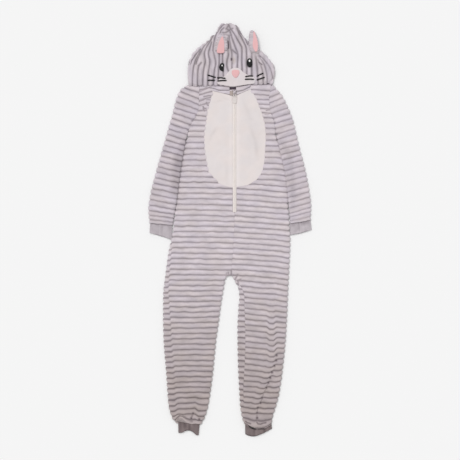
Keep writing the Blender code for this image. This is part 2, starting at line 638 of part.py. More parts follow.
def make_cuff(name, table, top_x, hem_x, seam_end, knit):
    """A smooth tube folded flat. seam_end is the share, 0 or 1, at which its two edges meet."""
    top_y, upper_hem, lower_hem = table_curves(table)
    upper_top = 2 * CUFF_WALL + SEAM_GAP
    middle = CUFF_WALL + SEAM_GAP / 2
    width = top_x[1] - top_x[0]
    roll = CUFF_ROLL / width

    def column(share, z, hem):
        share = share if seam_end == 1 else 1 - share

        def at(row):
            down = row["down"]
            x = blend(blend(top_x[0], top_x[1], share), blend(hem_x[0], hem_x[1], share), down)
            return (x, blend(top_y(share), hem(share), down), z)

        return (0, at)

    profile = (
        (1.0, CUFF_WALL + SEAM_GAP, upper_hem), (1 - roll * 0.3, upper_top * 0.86, upper_hem),
        (1 - roll, upper_top, upper_hem), (0.7, upper_top, upper_hem), (0.4, upper_top, upper_hem),
        (roll, upper_top, upper_hem), (roll * 0.3, upper_top * 0.86, upper_hem), (0.0, middle, upper_hem),
        (roll * 0.3, CUFF_WALL * 0.3, lower_hem), (roll, 0.0, lower_hem), (0.4, 0.0, lower_hem),
        (0.7, 0.0, lower_hem), (1 - roll, 0.0, lower_hem), (1 - roll * 0.3, CUFF_WALL * 0.3, lower_hem),
        (1.0, CUFF_WALL, lower_hem), (0.7, CUFF_WALL, lower_hem), (0.4, CUFF_WALL, lower_hem),
        (roll * 1.3, middle, upper_hem), (0.4, CUFF_WALL + SEAM_GAP, upper_hem),
        (0.7, CUFF_WALL + SEAM_GAP, upper_hem),
    )
    rows = [{"down": down, "rank": 0} for down in (0.0, 0.5, 1.0)]
    upper_layer = [*range(8), 17, 18, 19]
    lower_layer = range(7, 18)
    return loft(name, rows, [column(*corner) for corner in profile], knit, (upper_layer, lower_layer))


class Hood:
    """The hood pulled flat: ribs run from its hem to its outline and lean in towards the crown."""

    def __init__(self):
        self.outline = table_curves(HOOD_OUTLINE)
        self.hem = table_curves(HOOD_HEM)
        left = [self.path(0.0, v) for v in np.linspace(0, 1, 8)]
        crown = [(self.outline[0](u), self.outline[1](u)) for u in np.linspace(0, 1, 60)]
        right = [self.path(1.0, v) for v in np.linspace(1, 0, 8)]
        self.edge = np.array(left + crown + right)

    def clear_of_neck(self, u):
        """The lowest share of the path that is past the shoulders' top edge."""
        return (NECK_CLEAR_Y - self.hem[1](u)) / (self.outline[1](u) - self.hem[1](u))

    def path(self, u, v):
        bulge = HOOD_BULGE * (2 * u - 1) * 4 * v * (1 - v)
        x = blend(self.hem[0](u), self.outline[0](u), v**HOOD_LEAN) + bulge
        return (x, blend(self.hem[1](u), self.outline[1](u), v))

    def from_edge(self, x, y):
        starts, ends = self.edge[:-1], self.edge[1:]
        runs = ends - starts
        lengths = np.maximum((runs**2).sum(axis=1), 1e-12)
        t = np.clip(((np.array([x, y]) - starts) * runs).sum(axis=1) / lengths, 0, 1)
        return float(np.linalg.norm(starts + runs * t[:, None] - (x, y), axis=1).min())

    def between(self, x, y):
        """Height of the face between the hood's folded layers and its outer layer."""
        over_shoulder = smooth_step((NECK_CLEAR_Y + SHOULDER_RAMP - y) / SHOULDER_RAMP)
        rise = max(smooth_step(self.from_edge(x, y) / HOOD_RAMP), over_shoulder)
        return blend(HOOD_EDGE, HOOD_MIDDLE, rise)

    def folds(self, x, y):
        total = 0.0
        for x0, y0, x1, y1, width, height in HOOD_FOLDS:
            run = np.array([x1 - x0, y1 - y0])
            t = np.clip(np.dot((x - x0, y - y0), run) / np.dot(run, run), 0, 1)
            away = np.linalg.norm((x - x0 - run[0] * t, y - y0 - run[1] * t))
            total += height * np.exp(-((away / width) ** 2))
        return float(total)

    def top(self, x, y, height):
        away = self.from_edge(x, y)
        round_edge = sqrt(max(0.0, 1 - (1 - min(away / FOLD_ROLL, 1)) ** 2))
        wall = GROOVE_WALL + RIB_HEIGHT * height
        folds = self.folds(x, y) * smooth_step(away / HOOD_RAMP * 2)
        return self.between(x, y) + 0.0006 + (wall - 0.0006) * round_edge + folds * round_edge

    def bottom(self, x, y):
        away = self.from_edge(x, y)
        round_edge = sqrt(max(0.0, 1 - (1 - min(away / FOLD_ROLL, 1)) ** 2))
        return (HOOD_EDGE - SEAM_GAP - 0.0008) * (1 - round_edge)


def hood_rows():
    shares = [(number + fraction) / HOOD_RIBS for number in range(HOOD_RIBS) for fraction in RIB_FRACTIONS]
    rows = []
    for share in shares + [1.0]:
        height = rib(share * HOOD_RIBS)
        rows.append({"u": share, "rib": height, "rank": 0 if height < 0.01 else 1})
    return rows


def make_hood_upper(name, hood, plush):
    def outer(v):
        def at(row):
            x, y = hood.path(row["u"], hood.clear_of_neck(row["u"]) if v is None else v)
            return (x, y, hood.top(x, y, row["rib"]))

        return at

    def inner(v):
        def at(row):
            x, y = hood.path(row["u"], hood.clear_of_neck(row["u"]) if v is None else v)
            return (x, y, hood.between(x, y))

        return at

    columns = [(1, outer(v)) for v in (0.0, None, *HOOD_STATIONS, 0.98, 1.0)]
    columns += [(0, inner(v)) for v in (1.0, *reversed(HOOD_STATIONS), None, 0.0)]
    return loft(name, hood_rows(), columns, plush, folded_caps(len(columns), 6))


def make_hood_under(name, hood, plush):
    rows = [row for row in hood_rows() if row["rank"] == 0]

    def place(v, height):
        def at(row):
            x, y = hood.path(row["u"], hood.clear_of_neck(row["u"]) if v is None else v)
            return (x, y, height(x, y))

        return at

    def upper(x, y):
        return hood.between(x, y) - SEAM_GAP

    columns = [(0, place(v, hood.bottom)) for v in (None, *HOOD_STATIONS, 0.98, 1.0)]
    columns += [(0, place(v, upper)) for v in (1.0, *reversed(HOOD_STATIONS), None)]
    return loft(name, rows, columns, plush, folded_caps(len(columns), 5))


def make_band(name, table, plush):
    """The hood's lower front band: a rounded strip between the hood's hem and the neckline."""
    lower = curve(list(table))
    hem = curve([(x, y) for _, x, y in HOOD_HEM])
    rows = [{"x": x, "rank": 0} for x in np.linspace(table[0][0], table[-1][0], 9)]

    def place(share, z):
        def at(row):
            return (row["x"], blend(lower(row["x"]), hem(row["x"]) - 0.0009, share), HOOD_MIDDLE + z)

        return (0, at)

    profile = ((0.0, 0.0), (0.0, 0.45), (0.2, 0.9), (0.5, 1.0), (0.85, 0.95), (1.0, 0.6), (1.0, 0.0))
    return loft(name, rows, [place(share, z * BAND_HEIGHT) for share, z in profile], plush)


def blocks(name, cuts, filled, finish_material):
    """One solid made of the filled cells of a grid: cuts holds the grid's x, y and z positions."""
    mesh = bmesh.new()
    corners = {}

    def corner(*index):
        if index not in corners:
            corners[index] = mesh.verts.new([cuts[axis][index[axis]] for axis in range(3)])
        return corners[index]

    for cell in filled:
        for axis in range(3):
            for step in (0, 1):
                beside = list(cell)
                beside[axis] += 1 if step else -1
                if tuple(beside) in filled:
                    continue
                ring = []
                for a, b in ((0, 0), (1, 0), (1, 1), (0, 1)):
                    index = list(cell)
                    index[axis] += step
                    index[(axis + 1) % 3] += a
                    index[(axis + 2) % 3] += b
                    ring.append(corner(*index))
                mesh.faces.new(ring)
    return finish(name, mesh, finish_material)


def make_slider(name, metal):
    """The plate over the chain, and a bridge of two posts and a bar."""
    across = (-SLIDER_WIDTH / 2, -BRIDGE_WIDTH / 2, BRIDGE_WIDTH / 2, SLIDER_WIDTH / 2)
    cuts = ([ZIP_X + x for x in across], SLIDER_Y, SLIDER_PLATE + BRIDGE_BAR)
    plate = {(i, j, 0) for i in range(3) for j in range(4)}
    posts = {(1, 0, 1), (1, 2, 1)}
    bar = {(1, j, 2) for j in range(3)}
    return blocks(name, cuts, plate | posts | bar, metal)


def make_pull(name, tape):
    """A flat tab with an eye round the slider's bridge. Its origin is on the hinge axis."""
    axis_y, axis_z = PULL_AXIS
    # y from the axis, half width, height of the middle above the axis
    table = (
        (0.0007, 0.0036, 0.0), (-0.0008, 0.0038, 0.0), (-0.0055, 0.0045, 0.0),
        (-0.0075, 0.0060, -0.0006), (-0.0110, 0.0065, -0.0032), (-0.0240, 0.0065, -0.0035),
        (-0.0280, 0.0055, -0.0035), (-0.0295, 0.0035, -0.0035),
    )
    eye_half = 0.0021
    mesh = bmesh.new()
    lines = [
        [mesh.verts.new((x, y, z + PULL_THICKNESS / 2)) for x in (-half, -eye_half, eye_half, half)]
        for y, half, z in table
    ]
    for i, (one, other) in enumerate(zip(lines, lines[1:])):
        for j in range(3):
            if i != 1 or j != 1:
                mesh.faces.new((one[j], other[j], other[j + 1], one[j + 1]))
    top = list(mesh.faces)
    under = bmesh.ops.extrude_face_region(mesh, geom=top)
    moved = [v for v in under["geom"] if isinstance(v, bmesh.types.BMVert)]
    bmesh.ops.translate(mesh, verts=moved, vec=(0, 0, -PULL_THICKNESS))
    pull = finish(name, mesh, tape)
    pull.location = (ZIP_X, axis_y, axis_z)
    return pull


clear_scene()
plush = material("ribbed_plush", PLUSH)
knit = material("cuff_knit", CUFF_KNIT)
cream = material("cream_fleece", CREAM)
pink = material("pink_plush", PINK)
black = material("black_thread", BLACK, 0.5)
dark = material("label_tape", LABEL_DARK, 0.8)
metal = material("slider_enamel", SLIDER_METAL, 0.45, 0.3)

front_right = Panel(RIGHT_SIDE, RIGHT_LEG, -1, BIB_RIGHT, 0.4445)
front_left = Panel(LEFT_SIDE, LEFT_LEG, 1, BIB_LEFT, 0.4497)
make_back("back_right", Panel(RIGHT_SIDE, RIGHT_LEG, -1), plush)
make_back("back_left", Panel(LEFT_SIDE, LEFT_LEG, 1), plush)
make_front("front_right", front_right, plush)
make_front("front_left", front_left, plush)
make_bib("bib_right", front_right, cream)
make_bib("bib_left", front_left, cream)
make_zip("zip_tape", cream)
make_slider("zip_slider", metal)
make_pull("zip_pull", cream)
make_sleeve("sleeve_right", Sleeve(SLEEVE_RIGHT, RIGHT_SIDE, -1), plush)
make_sleeve("sleeve_left", Sleeve(SLEEVE_LEFT, LEFT_SIDE, 1), plush)
make_cuff("sleeve_cuff_right", SLEEVE_CUFF_RIGHT, (-0.2552, -0.1867), (-0.2574, -0.1880), 1, knit)
make_cuff("sleeve_cuff_left", SLEEVE_CUFF_LEFT, (0.1941, 0.2571), (0.1960, 0.2610), 0, knit)
make_cuff("leg_cuff_right", LEG_CUFF_RIGHT, (-0.1662, -0.0958), (-0.1650, -0.1003), 1, knit)
make_cuff("leg_cuff_left", LEG_CUFF_LEFT, (0.0482, 0.1314), (0.0488, 0.1342), 0, knit)

hood = Hood()
make_hood_under("hood_under", hood, plush)
make_hood_upper("hood_upper", hood, plush)
make_band("neck_band_right", BAND_RIGHT, plush)
make_band("neck_band_left", BAND_LEFT, plush)


def droop_seat(clearance):
    """The left ear slopes down over the hood's edge towards the surface."""
    return lambda x, y: EAR_DROOP_SEAT + clearance - EAR_DROOP_SLOPE * (y - EAR_DROOP_Y)


def ellipse(x, y, width, height):
    angles = [2 * pi * i / EYE_SIDES for i in range(EYE_SIDES)]
    return [(x + width * cos(a), y + height * sin(a)) for a in angles]


def level_seat(height):
    return lambda x, y: height


leaf("muzzle", MUZZLE, 0.0020, level_seat(HOOD_TOP + 0.0003), MUZZLE_HEIGHT, cream)
leaf("nose", NOSE, 0.0015, level_seat(HOOD_TOP + MUZZLE_HEIGHT + 0.0006), NOSE_HEIGHT, pink)
leaf("eye_right", ellipse(*EYE_RIGHT), 0.0010, level_seat(HOOD_TOP + 0.0003), EYE_HEIGHT, black)
leaf("eye_left", ellipse(*EYE_LEFT), 0.0010, level_seat(HOOD_TOP + 0.0003), EYE_HEIGHT, black)
ear_base = HOOD_TOP + EAR_SEAT
ear_top = EAR_HEIGHT + SEAM_GAP
leaf("ear_right", EAR_RIGHT, 0.0030, level_seat(ear_base), EAR_HEIGHT, plush)
leaf("ear_left", EAR_LEFT, 0.0030, droop_seat(0.0), EAR_HEIGHT, plush)
leaf("ear_inner_right", EAR_INNER_RIGHT, 0.0010, level_seat(ear_base + ear_top), EAR_INNER_HEIGHT, pink)
leaf("ear_inner_left", EAR_INNER_LEFT, 0.0010, droop_seat(ear_top), EAR_INNER_HEIGHT, pink)

blocks("neck_label", (LABEL[:2], LABEL[2:], (INSIDE, INSIDE + LABEL_HEIGHT)), {(0, 0, 0)}, dark)
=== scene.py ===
"""Child's hooded onesie pajama in ribbed plush, laid flat with its front up and its zip closed.

The file follows the making: back, front, sleeves, cuffs, bib, zip, slider, neck label, hood, face and
ears, and then the floor, the light and the camera. Metres, +Z up off the floor, +Y towards the hood.
"""

import bpy
import numpy as np
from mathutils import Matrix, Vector
from mathutils.bvhtree import BVHTree


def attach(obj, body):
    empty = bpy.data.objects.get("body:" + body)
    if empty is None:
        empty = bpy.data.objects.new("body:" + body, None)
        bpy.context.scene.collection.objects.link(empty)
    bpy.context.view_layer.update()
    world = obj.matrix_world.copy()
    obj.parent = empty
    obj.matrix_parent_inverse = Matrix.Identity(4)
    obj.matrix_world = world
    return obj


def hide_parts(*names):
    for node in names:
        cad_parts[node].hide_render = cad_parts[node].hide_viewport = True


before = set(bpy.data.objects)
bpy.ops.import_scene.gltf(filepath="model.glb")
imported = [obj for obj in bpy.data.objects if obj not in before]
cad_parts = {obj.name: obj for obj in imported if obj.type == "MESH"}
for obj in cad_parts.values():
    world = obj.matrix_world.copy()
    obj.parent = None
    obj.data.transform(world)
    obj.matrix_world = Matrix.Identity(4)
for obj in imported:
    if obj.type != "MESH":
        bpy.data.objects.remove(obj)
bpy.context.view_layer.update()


# ---- Back ------------------------------------------------------------------------------------------
# The back is two panels of channelled plush: a thin knitted ground with a thick pile sheared into
# wide ribs, about 17 mm from groove to groove. Its pile is pressed flat where it lies on the floor.

RIB = 0.01741  # from groove to groove
PILE = 0.0046  # the pile's height on a rib
GROUND = 0.0016  # the knitted ground under it
MIDDLE = 0.0042  # where the front lies on the back
LAYER_GAP = 0.0003
GROOVE_LIFT = 0.0022  # how far a groove of the back stays off the floor
FOLD = 0.008  # how wide a folded edge rolls
SEAM = 0.0015  # how wide a sewn edge rolls
TURN = np.radians((0, 8, 18, 29, 41, 55, 71, 90))
UNDERARM_Y = 0.316
CROTCH_Y = -0.1465

# y, x of each side edge: the armhole first, then the fold below the sleeve
RIGHT_SIDE = (
    (0.4605, -0.0970), (0.4250, -0.0990), (0.3930, -0.1000), (0.3645, -0.1080), (0.3485, -0.1180),
    (0.3325, -0.1256), (0.3160, -0.1330), (0.2940, -0.1370), (0.2720, -0.1500), (0.2360, -0.1660),
    (0.1690, -0.1740), (0.1020, -0.1770), (0.0800, -0.1755), (0.0540, -0.1760), (0.0160, -0.1805),
    (-0.0160, -0.1845), (-0.0700, -0.1963), (-0.1390, -0.2056), (-0.2080, -0.2133), (-0.2780, -0.2139),
    (-0.3470, -0.2123), (-0.4590, -0.2037), (-0.5280, -0.1992), (-0.5630, -0.1950), (-0.5980, -0.1840),
    (-0.6180, -0.1710),
)
LEFT_SIDE = (
    (0.4605, 0.1307), (0.4250, 0.1250), (0.3930, 0.1270), (0.3645, 0.1342), (0.3485, 0.1387),
    (0.3325, 0.1416), (0.3160, 0.1450), (0.2940, 0.1490), (0.2720, 0.1620), (0.2360, 0.1780),
    (0.1820, 0.1870), (0.1150, 0.1900), (0.0800, 0.1865), (0.0540, 0.1885), (0.0160, 0.1900),
    (-0.0360, 0.1925), (-0.1040, 0.1900), (-0.1740, 0.1864), (-0.2780, 0.1820), (-0.3470, 0.1780),
    (-0.4590, 0.1666), (-0.5280, 0.1560), (-0.5630, 0.1470), (-0.5980, 0.1360), (-0.6180, 0.1317),
)
# y, x of the seam between the halves, then of each leg's inner fold
CENTRE_SEAM = (
    (0.4660, 0.0147), (0.0540, 0.0147), (-0.0500, 0.0105), (-0.1220, 0.0050), (-0.1465, -0.0030),
)
RIGHT_LEG = (
    (-0.1220, 0.0050), (-0.1350, 0.0010), (-0.1490, -0.0114), (-0.1670, -0.0168), (-0.1950, -0.0220),
    (-0.2430, -0.0296), (-0.3130, -0.0389), (-0.3470, -0.0440), (-0.4590, -0.0552), (-0.5280, -0.0645),
    (-0.5630, -0.0718), (-0.5980, -0.0834), (-0.6180, -0.0920),
)
LEFT_LEG = (
    (-0.1220, 0.0050), (-0.1350, 0.0064), (-0.1490, 0.0091), (-0.1670, 0.0168), (-0.1790, 0.0245),
    (-0.1950, 0.0286), (-0.2150, 0.0305), (-0.2430, 0.0277), (-0.2780, 0.0258), (-0.3130, 0.0242),
    (-0.3900, 0.0248), (-0.4590, 0.0270), (-0.5280, 0.0306), (-0.5630, 0.0328), (-0.5980, 0.0382),
    (-0.6180, 0.0443),
)
# groove number, then the groove's y at each station across the panel
RIGHT_STATIONS = (-0.190, -0.113, -0.059, 0.015)
RIGHT_GROOVES = (
    (-1, 0.4660, 0.4660, 0.4660, 0.4660), (0, 0.4400, 0.4430, 0.4560, 0.4560),
    (1, 0.4240, 0.4268, 0.4420, 0.4440), (2, 0.4090, 0.4103, 0.4235, 0.4300),
    (3, 0.3940, 0.3952, 0.4070, 0.4100), (4, 0.3796, 0.3800, 0.3830, 0.3850),
    (5, 0.3660, 0.3670, 0.3600, 0.3620), (6, 0.3512, 0.3508, 0.3480, 0.3480),
    (10, 0.2780, 0.2790, 0.2790, 0.2780), (14, 0.2045, 0.2050, 0.2040, 0.2010),
    (17, 0.1517, 0.1529, 0.1515, 0.1500), (22, 0.0636, 0.0643, 0.0632, 0.0600),
    (27, -0.0225, -0.0224, -0.0230, -0.0250), (32, -0.1085, -0.1089, -0.1109, -0.1111),
    (37, -0.1947, -0.1956, -0.1942, -0.1940), (42, -0.2794, -0.2804, -0.2777, -0.2777),
    (47, -0.3663, -0.3645, -0.3654, -0.3660), (52, -0.4524, -0.4514, -0.4530, -0.4530),
    (57, -0.5387, -0.5353, -0.5370, -0.5370), (60, -0.5900, -0.5876, -0.5880, -0.5880),
    (61.7, -0.6180, -0.6180, -0.6180, -0.6180),
)
LEFT_STATIONS = (0.010, 0.047, 0.107, 0.146, 0.185)
LEFT_GROOVES = (
    (-2, 0.4660, 0.4660, 0.4660, 0.4660, 0.4660), (-1, 0.4500, 0.4480, 0.4466, 0.4457, 0.4457),
    (0, 0.4350, 0.4340, 0.4315, 0.4301, 0.4300), (1, 0.4200, 0.4185, 0.4163, 0.4154, 0.4150),
    (2, 0.4050, 0.4040, 0.4016, 0.3989, 0.3985), (3, 0.3920, 0.3900, 0.3874, 0.3850, 0.3850),
    (4, 0.3780, 0.3760, 0.3738, 0.3720, 0.3720), (6, 0.3440, 0.3430, 0.3422, 0.3410, 0.3410),
    (10, 0.2720, 0.2710, 0.2683, 0.2680, 0.2680), (14, 0.2000, 0.1980, 0.1949, 0.1946, 0.1890),
    (17, 0.1500, 0.1480, 0.1437, 0.1408, 0.1370), (22, 0.0625, 0.0602, 0.0559, 0.0526, 0.0504),
    (27, -0.0240, -0.0270, -0.0298, -0.0326, -0.0375), (32, -0.1095, -0.1114, -0.1158, -0.1188, -0.1251),
    (37, -0.1960, -0.1980, -0.2043, -0.2057, -0.2127), (42, -0.2830, -0.2850, -0.2912, -0.2945, -0.2979),
    (47, -0.3720, -0.3740, -0.3811, -0.3809, -0.3766), (52, -0.4620, -0.4640, -0.4711, -0.4691, -0.4600),
    (56, -0.5320, -0.5340, -0.5372, -0.5372, -0.5350), (60, -0.5980, -0.6000, -0.6027, -0.6020, -0.6000),
    (61.2, -0.6180, -0.6180, -0.6180, -0.6180, -0.6180),
)


def mix(a, b, t):
    return a + (b - a) * t


def ease(t):
    t = np.clip(t, 0.0, 1.0)
    return t * t * (3 - 2 * t)


def bell(away, width):
    """1 in the middle, fading to 0 about two widths away."""
    return np.exp(-((away / width) ** 2))


def smooth_line(pairs):
    """A line through (key, value) pairs that bends smoothly and never overshoots between two of them."""
    keys, values = np.array(sorted(pairs), float).T
    steps = np.diff(keys)
    slopes = np.diff(values) / steps
    before, after = slopes[:-1], slopes[1:]
    turns = before * after <= 0
    bends = np.where(turns, 0.0, 2 * before * after / np.where(turns, 1.0, before + after))
    tangents = np.concatenate([slopes[:1], bends, slopes[-1:]])

    def at(key):
        key = np.clip(key, keys[0], keys[-1])
        i = np.clip(np.searchsorted(keys, key) - 1, 0, len(steps) - 1)
        t = (key - keys[i]) / steps[i]
        return (
            (1 + 2 * t) * (1 - t) ** 2 * values[i]
            + t * (1 - t) ** 2 * steps[i] * tangents[i]
            + t * t * (3 - 2 * t) * values[i + 1]
            + t * t * (t - 1) * steps[i] * tangents[i + 1]
        )

    return at


def smooth_columns(table, keys=None):
    """A smooth line for each column of a table, over its first column or over the keys given."""
    columns = list(zip(*table))
    if keys is None:
        keys = columns.pop(0)
    return [smooth_line(list(zip(keys, column))) for column in columns]


def places(x, y, z):
    """Joins x, y and z into points, where each is given for all the points, a row, a column or once."""
    return np.stack(np.broadcast_arrays(x, y, z), axis=-1)


def unevenness(x, y, size, seed):
    """A smooth random swell from about -1 to 1, with hills about as wide as size."""
    waves = 7
    chance = np.random.default_rng(seed)
    total = 0.0
    for _ in range(waves):
        angle, start = chance.uniform(0, 2 * np.pi, 2)
        pace = np.pi / size * chance.uniform(0.6, 1.5)
        total = total + np.sin((x * np.cos(angle) + y * np.sin(angle)) * pace + start)
    return total * 2 / waves


def wobble(x, y, seed):
    """How far the hand-laid ribs stray from their lines."""
    return 0.0007 * unevenness(x, y, 0.030, seed) + 0.0005 * unevenness(x, y, 0.011, seed + 1)


def rib_swell(phase):
    """The pile's height over a rib, from 0 in the groove to 1 on top."""
    across = np.abs(2 * (phase % 1.0) - 1)
    return (1 - across**2.2) ** 0.62


def groove_shade(phase):
    """Painted shade of a groove: most on the groove's line, fading over the rib's sides to 0."""
    away = np.minimum(phase % 1.0, 1 - phase % 1.0) * RIB
    return 0.34 * bell(away, 0.0022) + 0.16 * bell(away, 0.0048)


def scallop(full, drawn_in=0.0042):
    """How far an edge is drawn in at a groove. On a rib it stands out a little."""
    return drawn_in * (1 - full) - 0.0010 * full


def free_below(top_y, edge_y):
    """0 where an edge is sewn, and 1 below top_y, where it is a loose fold."""
    return ease((top_y - edge_y + 0.004) / 0.014)


def edge_lean(lean, free):
    """How high an edge stands as it turns over: a sewn one stays up, a loose one rolls down."""
    return np.where(lean > 0, mix(0.90 + 0.10 * lean, lean, free), 0.0)


def wall_faces(rows, columns):
    """The faces of a closed wall whose rows each go once round it, with its two ends capped."""
    index = np.arange(rows * columns).reshape(rows, columns)
    after = np.roll(index, -1, axis=1)
    faces = np.stack([index[:-1], after[:-1], after[1:], index[1:]], axis=-1).reshape(-1, 4).tolist()
    return faces + [index[0, ::-1].tolist(), index[-1].tolist()]


def new_piece(name, points, faces):
    mesh = bpy.data.meshes.new(name)
    mesh.from_pydata(points, [], faces)
    mesh.shade_smooth()
    piece = bpy.data.objects.new(name, mesh)
    bpy.context.scene.collection.objects.link(piece)
    return piece


def cloth(name, ring, painted_shade=0.0, along=None):
    """A closed wall of cloth: each row of ring goes once round its thickness. painted_shade is the shade,
    or light where below 0, painted into each point's colour, and along says how far each point is
    along its rib and across the ribs."""
    rows, columns = ring.shape[:2]
    piece = new_piece(name, ring.reshape(-1, 3), wall_faces(rows, columns))
    turned = ring - ring.mean(axis=(0, 1))
    a, b, c = turned[:-1], np.roll(turned, -1, axis=1)[:-1], turned[1:]
    if (a * np.cross(b, c)).sum() < 0:
        piece.data.flip_normals()
    shade = piece.data.attributes.new("groove", "FLOAT", "POINT")
    shade.data.foreach_set("value", np.broadcast_to(painted_shade, (rows, columns)).ravel().astype(np.float32))
    nap = piece.data.attributes.new("nap", "FLOAT_VECTOR", "POINT")
    nap.data.foreach_set("vector", (ring if along is None else along).reshape(-1).astype(np.float32))
    return piece


def groove_height(stations, table):
    """How high each numbered groove runs at a place across the panel."""
    lines = smooth_columns(table)
    stations = np.array(stations)

    def at(number, x):
        heights = np.stack([line(number) for line in lines], axis=-1)
        i = np.clip(np.searchsorted(stations, x) - 1, 0, len(stations) - 2)
        t = np.clip((x - stations[i]) / (stations[i + 1] - stations[i]), 0, 1)
        rows = np.arange(len(number)).reshape(-1, *[1] * (np.ndim(x) - 1))
        return mix(heights[rows, i], heights[rows, i + 1], t)

    return at


RIGHT_LINES = groove_height(RIGHT_STATIONS, RIGHT_GROOVES)
LEFT_LINES = groove_height(LEFT_STATIONS, LEFT_GROOVES)


def rows_down(ends, per_rib):
    """The rows of points down a panel as groove numbers, so many to a rib."""
    numbers = np.arange(ends[0] * per_rib, ends[1] * per_rib + 0.5) / per_rib
    return np.append(numbers[numbers < ends[1]], ends[1])


def meeting(lines, numbers, edge):
    """Where each numbered groove meets an edge given as x over y."""
    x = edge(np.zeros(len(numbers)))
    for _ in range(60):
        x = mix(x, edge(lines(numbers, x)), 0.5)
    return x


def panel(lines, numbers, side, inner, toward_side, flat_columns):
    """The places across a panel, row by row, and how far each is round the panel's rolled edges."""
    edges, leans = [], []
    full = rib_swell(numbers)[:, None]
    for edge, inward, top_y in ((side, -toward_side, UNDERARM_Y), (inner, toward_side, CROTCH_Y)):
        x = meeting(lines, numbers, edge)
        free = free_below(top_y, lines(numbers, x))[:, None]
        roll = mix(SEAM, FOLD, free) * (1 - np.cos(TURN))
        edges.append(x[:, None] + inward * (roll + free * scallop(full) * np.cos(TURN)))
        leans.append(edge_lean(np.sin(TURN), free))
    flat = mix(edges[0][:, -1:], edges[1][:, -1:], np.linspace(0, 1, flat_columns + 2)[1:-1])
    x = np.concatenate([edges[0], flat, edges[1][:, ::-1]], axis=1)
    return x, np.concatenate([leans[0], np.ones_like(flat), leans[1][:, ::-1]], axis=1)


def panel_wall(name, x, y, z, phase, inside_z, painted_shade, seed):
    """Closes a panel: its pile side is given, and its plain side runs back at inside_z."""
    shares = np.array([0.03, 0.35, 0.65, 0.97])
    back_x, back_y = mix(x[:, -1:], x[:, :1], shares), mix(y[:, -1:], y[:, :1], shares)
    for column in (1, 2):
        back_y[:, column] = y[:, int((1 - shares[column]) * (y.shape[1] - 1))]
    back = places(back_x, back_y, inside_z)
    ring = np.concatenate([places(x, y, z), back], axis=1)
    along = np.concatenate([places(x, phase * RIB, seed), back], axis=1)
    return cloth(name, ring, np.concatenate([painted_shade, np.zeros(back_x.shape)], axis=1), along)


def inner_edge(leg_table):
    """The centre seam, and below the crotch the leg's inner fold."""
    centre, leg = smooth_line(CENTRE_SEAM), smooth_line(leg_table)
    return lambda y: np.where(y > CROTCH_Y, centre(y), leg(y))


def back_panel(name, lines, ends, side_table, leg_table, toward_side, seed):
    numbers = rows_down(ends, 12)
    x, lean = panel(lines, numbers, smooth_line(side_table), inner_edge(leg_table), toward_side, 26)
    y = lines(numbers, x)
    phase = np.broadcast_to(numbers[:, None], x.shape)
    z = mix(MIDDLE, (1 - rib_swell(phase)) * GROOVE_LIFT, lean)
    y = y + wobble(x, y, seed) * lean
    return panel_wall(name, x, y, z, phase, MIDDLE - LAYER_GAP, groove_shade(phase), seed)


back_right = back_panel("back_right_plush", RIGHT_LINES, (-1, 61.7), RIGHT_SIDE, RIGHT_LEG, -1, 11)
back_left = back_panel("back_left_plush", LEFT_LINES, (-2, 61.2), LEFT_SIDE, LEFT_LEG, 1, 12)


def node(tree, kind, inputs=None, **settings):
    """Adds a node, sets its values and joins its inputs to other nodes' outputs."""
    made = tree.nodes.new(kind)
    for key, value in settings.items():
        setattr(made, key, value)
    for key, value in (inputs or {}).items():
        if isinstance(value, bpy.types.NodeSocket):
            tree.links.new(value, made.inputs[key])
        else:
            made.inputs[key].default_value = value
    return made


def noise(tree, place, scale, detail, **more):
    values = {"Vector": place, "Scale": scale, "Detail": detail, **more}
    return node(tree, "ShaderNodeTexNoise", values).outputs["Fac"]


def maths(tree, operation, *values):
    return node(tree, "ShaderNodeMath", dict(enumerate(values)), operation=operation).outputs[0]


def spread(tree, value, span, onto=(0.0, 1.0), **settings):
    """Spreads one span of values onto another, and holds it at its ends."""
    ends = {"From Min": span[0], "From Max": span[1], "To Min": onto[0], "To Max": onto[1]}
    return node(tree, "ShaderNodeMapRange", {"Value": value, **ends}, **settings).outputs[0]


def between(tree, share, first, second):
    """A colour that goes from the first to the second as share goes from 0 to 1."""
    return node(tree, "ShaderNodeMix", {0: share, 6: first, 7: second}, data_type="RGBA").outputs[2]


def times(tree, colour, by):
    """A colour or a place times another one, or times a plain number's output."""
    plain = isinstance(by, bpy.types.NodeSocket) and by.type == "VALUE"
    values = {0: colour, "Scale" if plain else 1: by}
    return node(tree, "ShaderNodeVectorMath", values, operation="SCALE" if plain else "MULTIPLY").outputs[0]


def object_place(tree):
    return node(tree, "ShaderNodeTexCoord").outputs["Object"]


def attribute(tree, name, output):
    return node(tree, "ShaderNodeAttribute", attribute_name=name).outputs[output]


def new_group(name, inputs, outputs):
    """An empty shader node group with its sockets, and its two end nodes."""
    group = bpy.data.node_groups.new(name, "ShaderNodeTree")
    for label, kind, start in inputs:
        group.interface.new_socket(label, in_out="INPUT", socket_type=kind).default_value = start
    for label, kind in outputs:
        group.interface.new_socket(label, in_out="OUTPUT", socket_type=kind)
    return group, group.nodes.new("NodeGroupInput").outputs, group.nodes.new("NodeGroupOutput").inputs


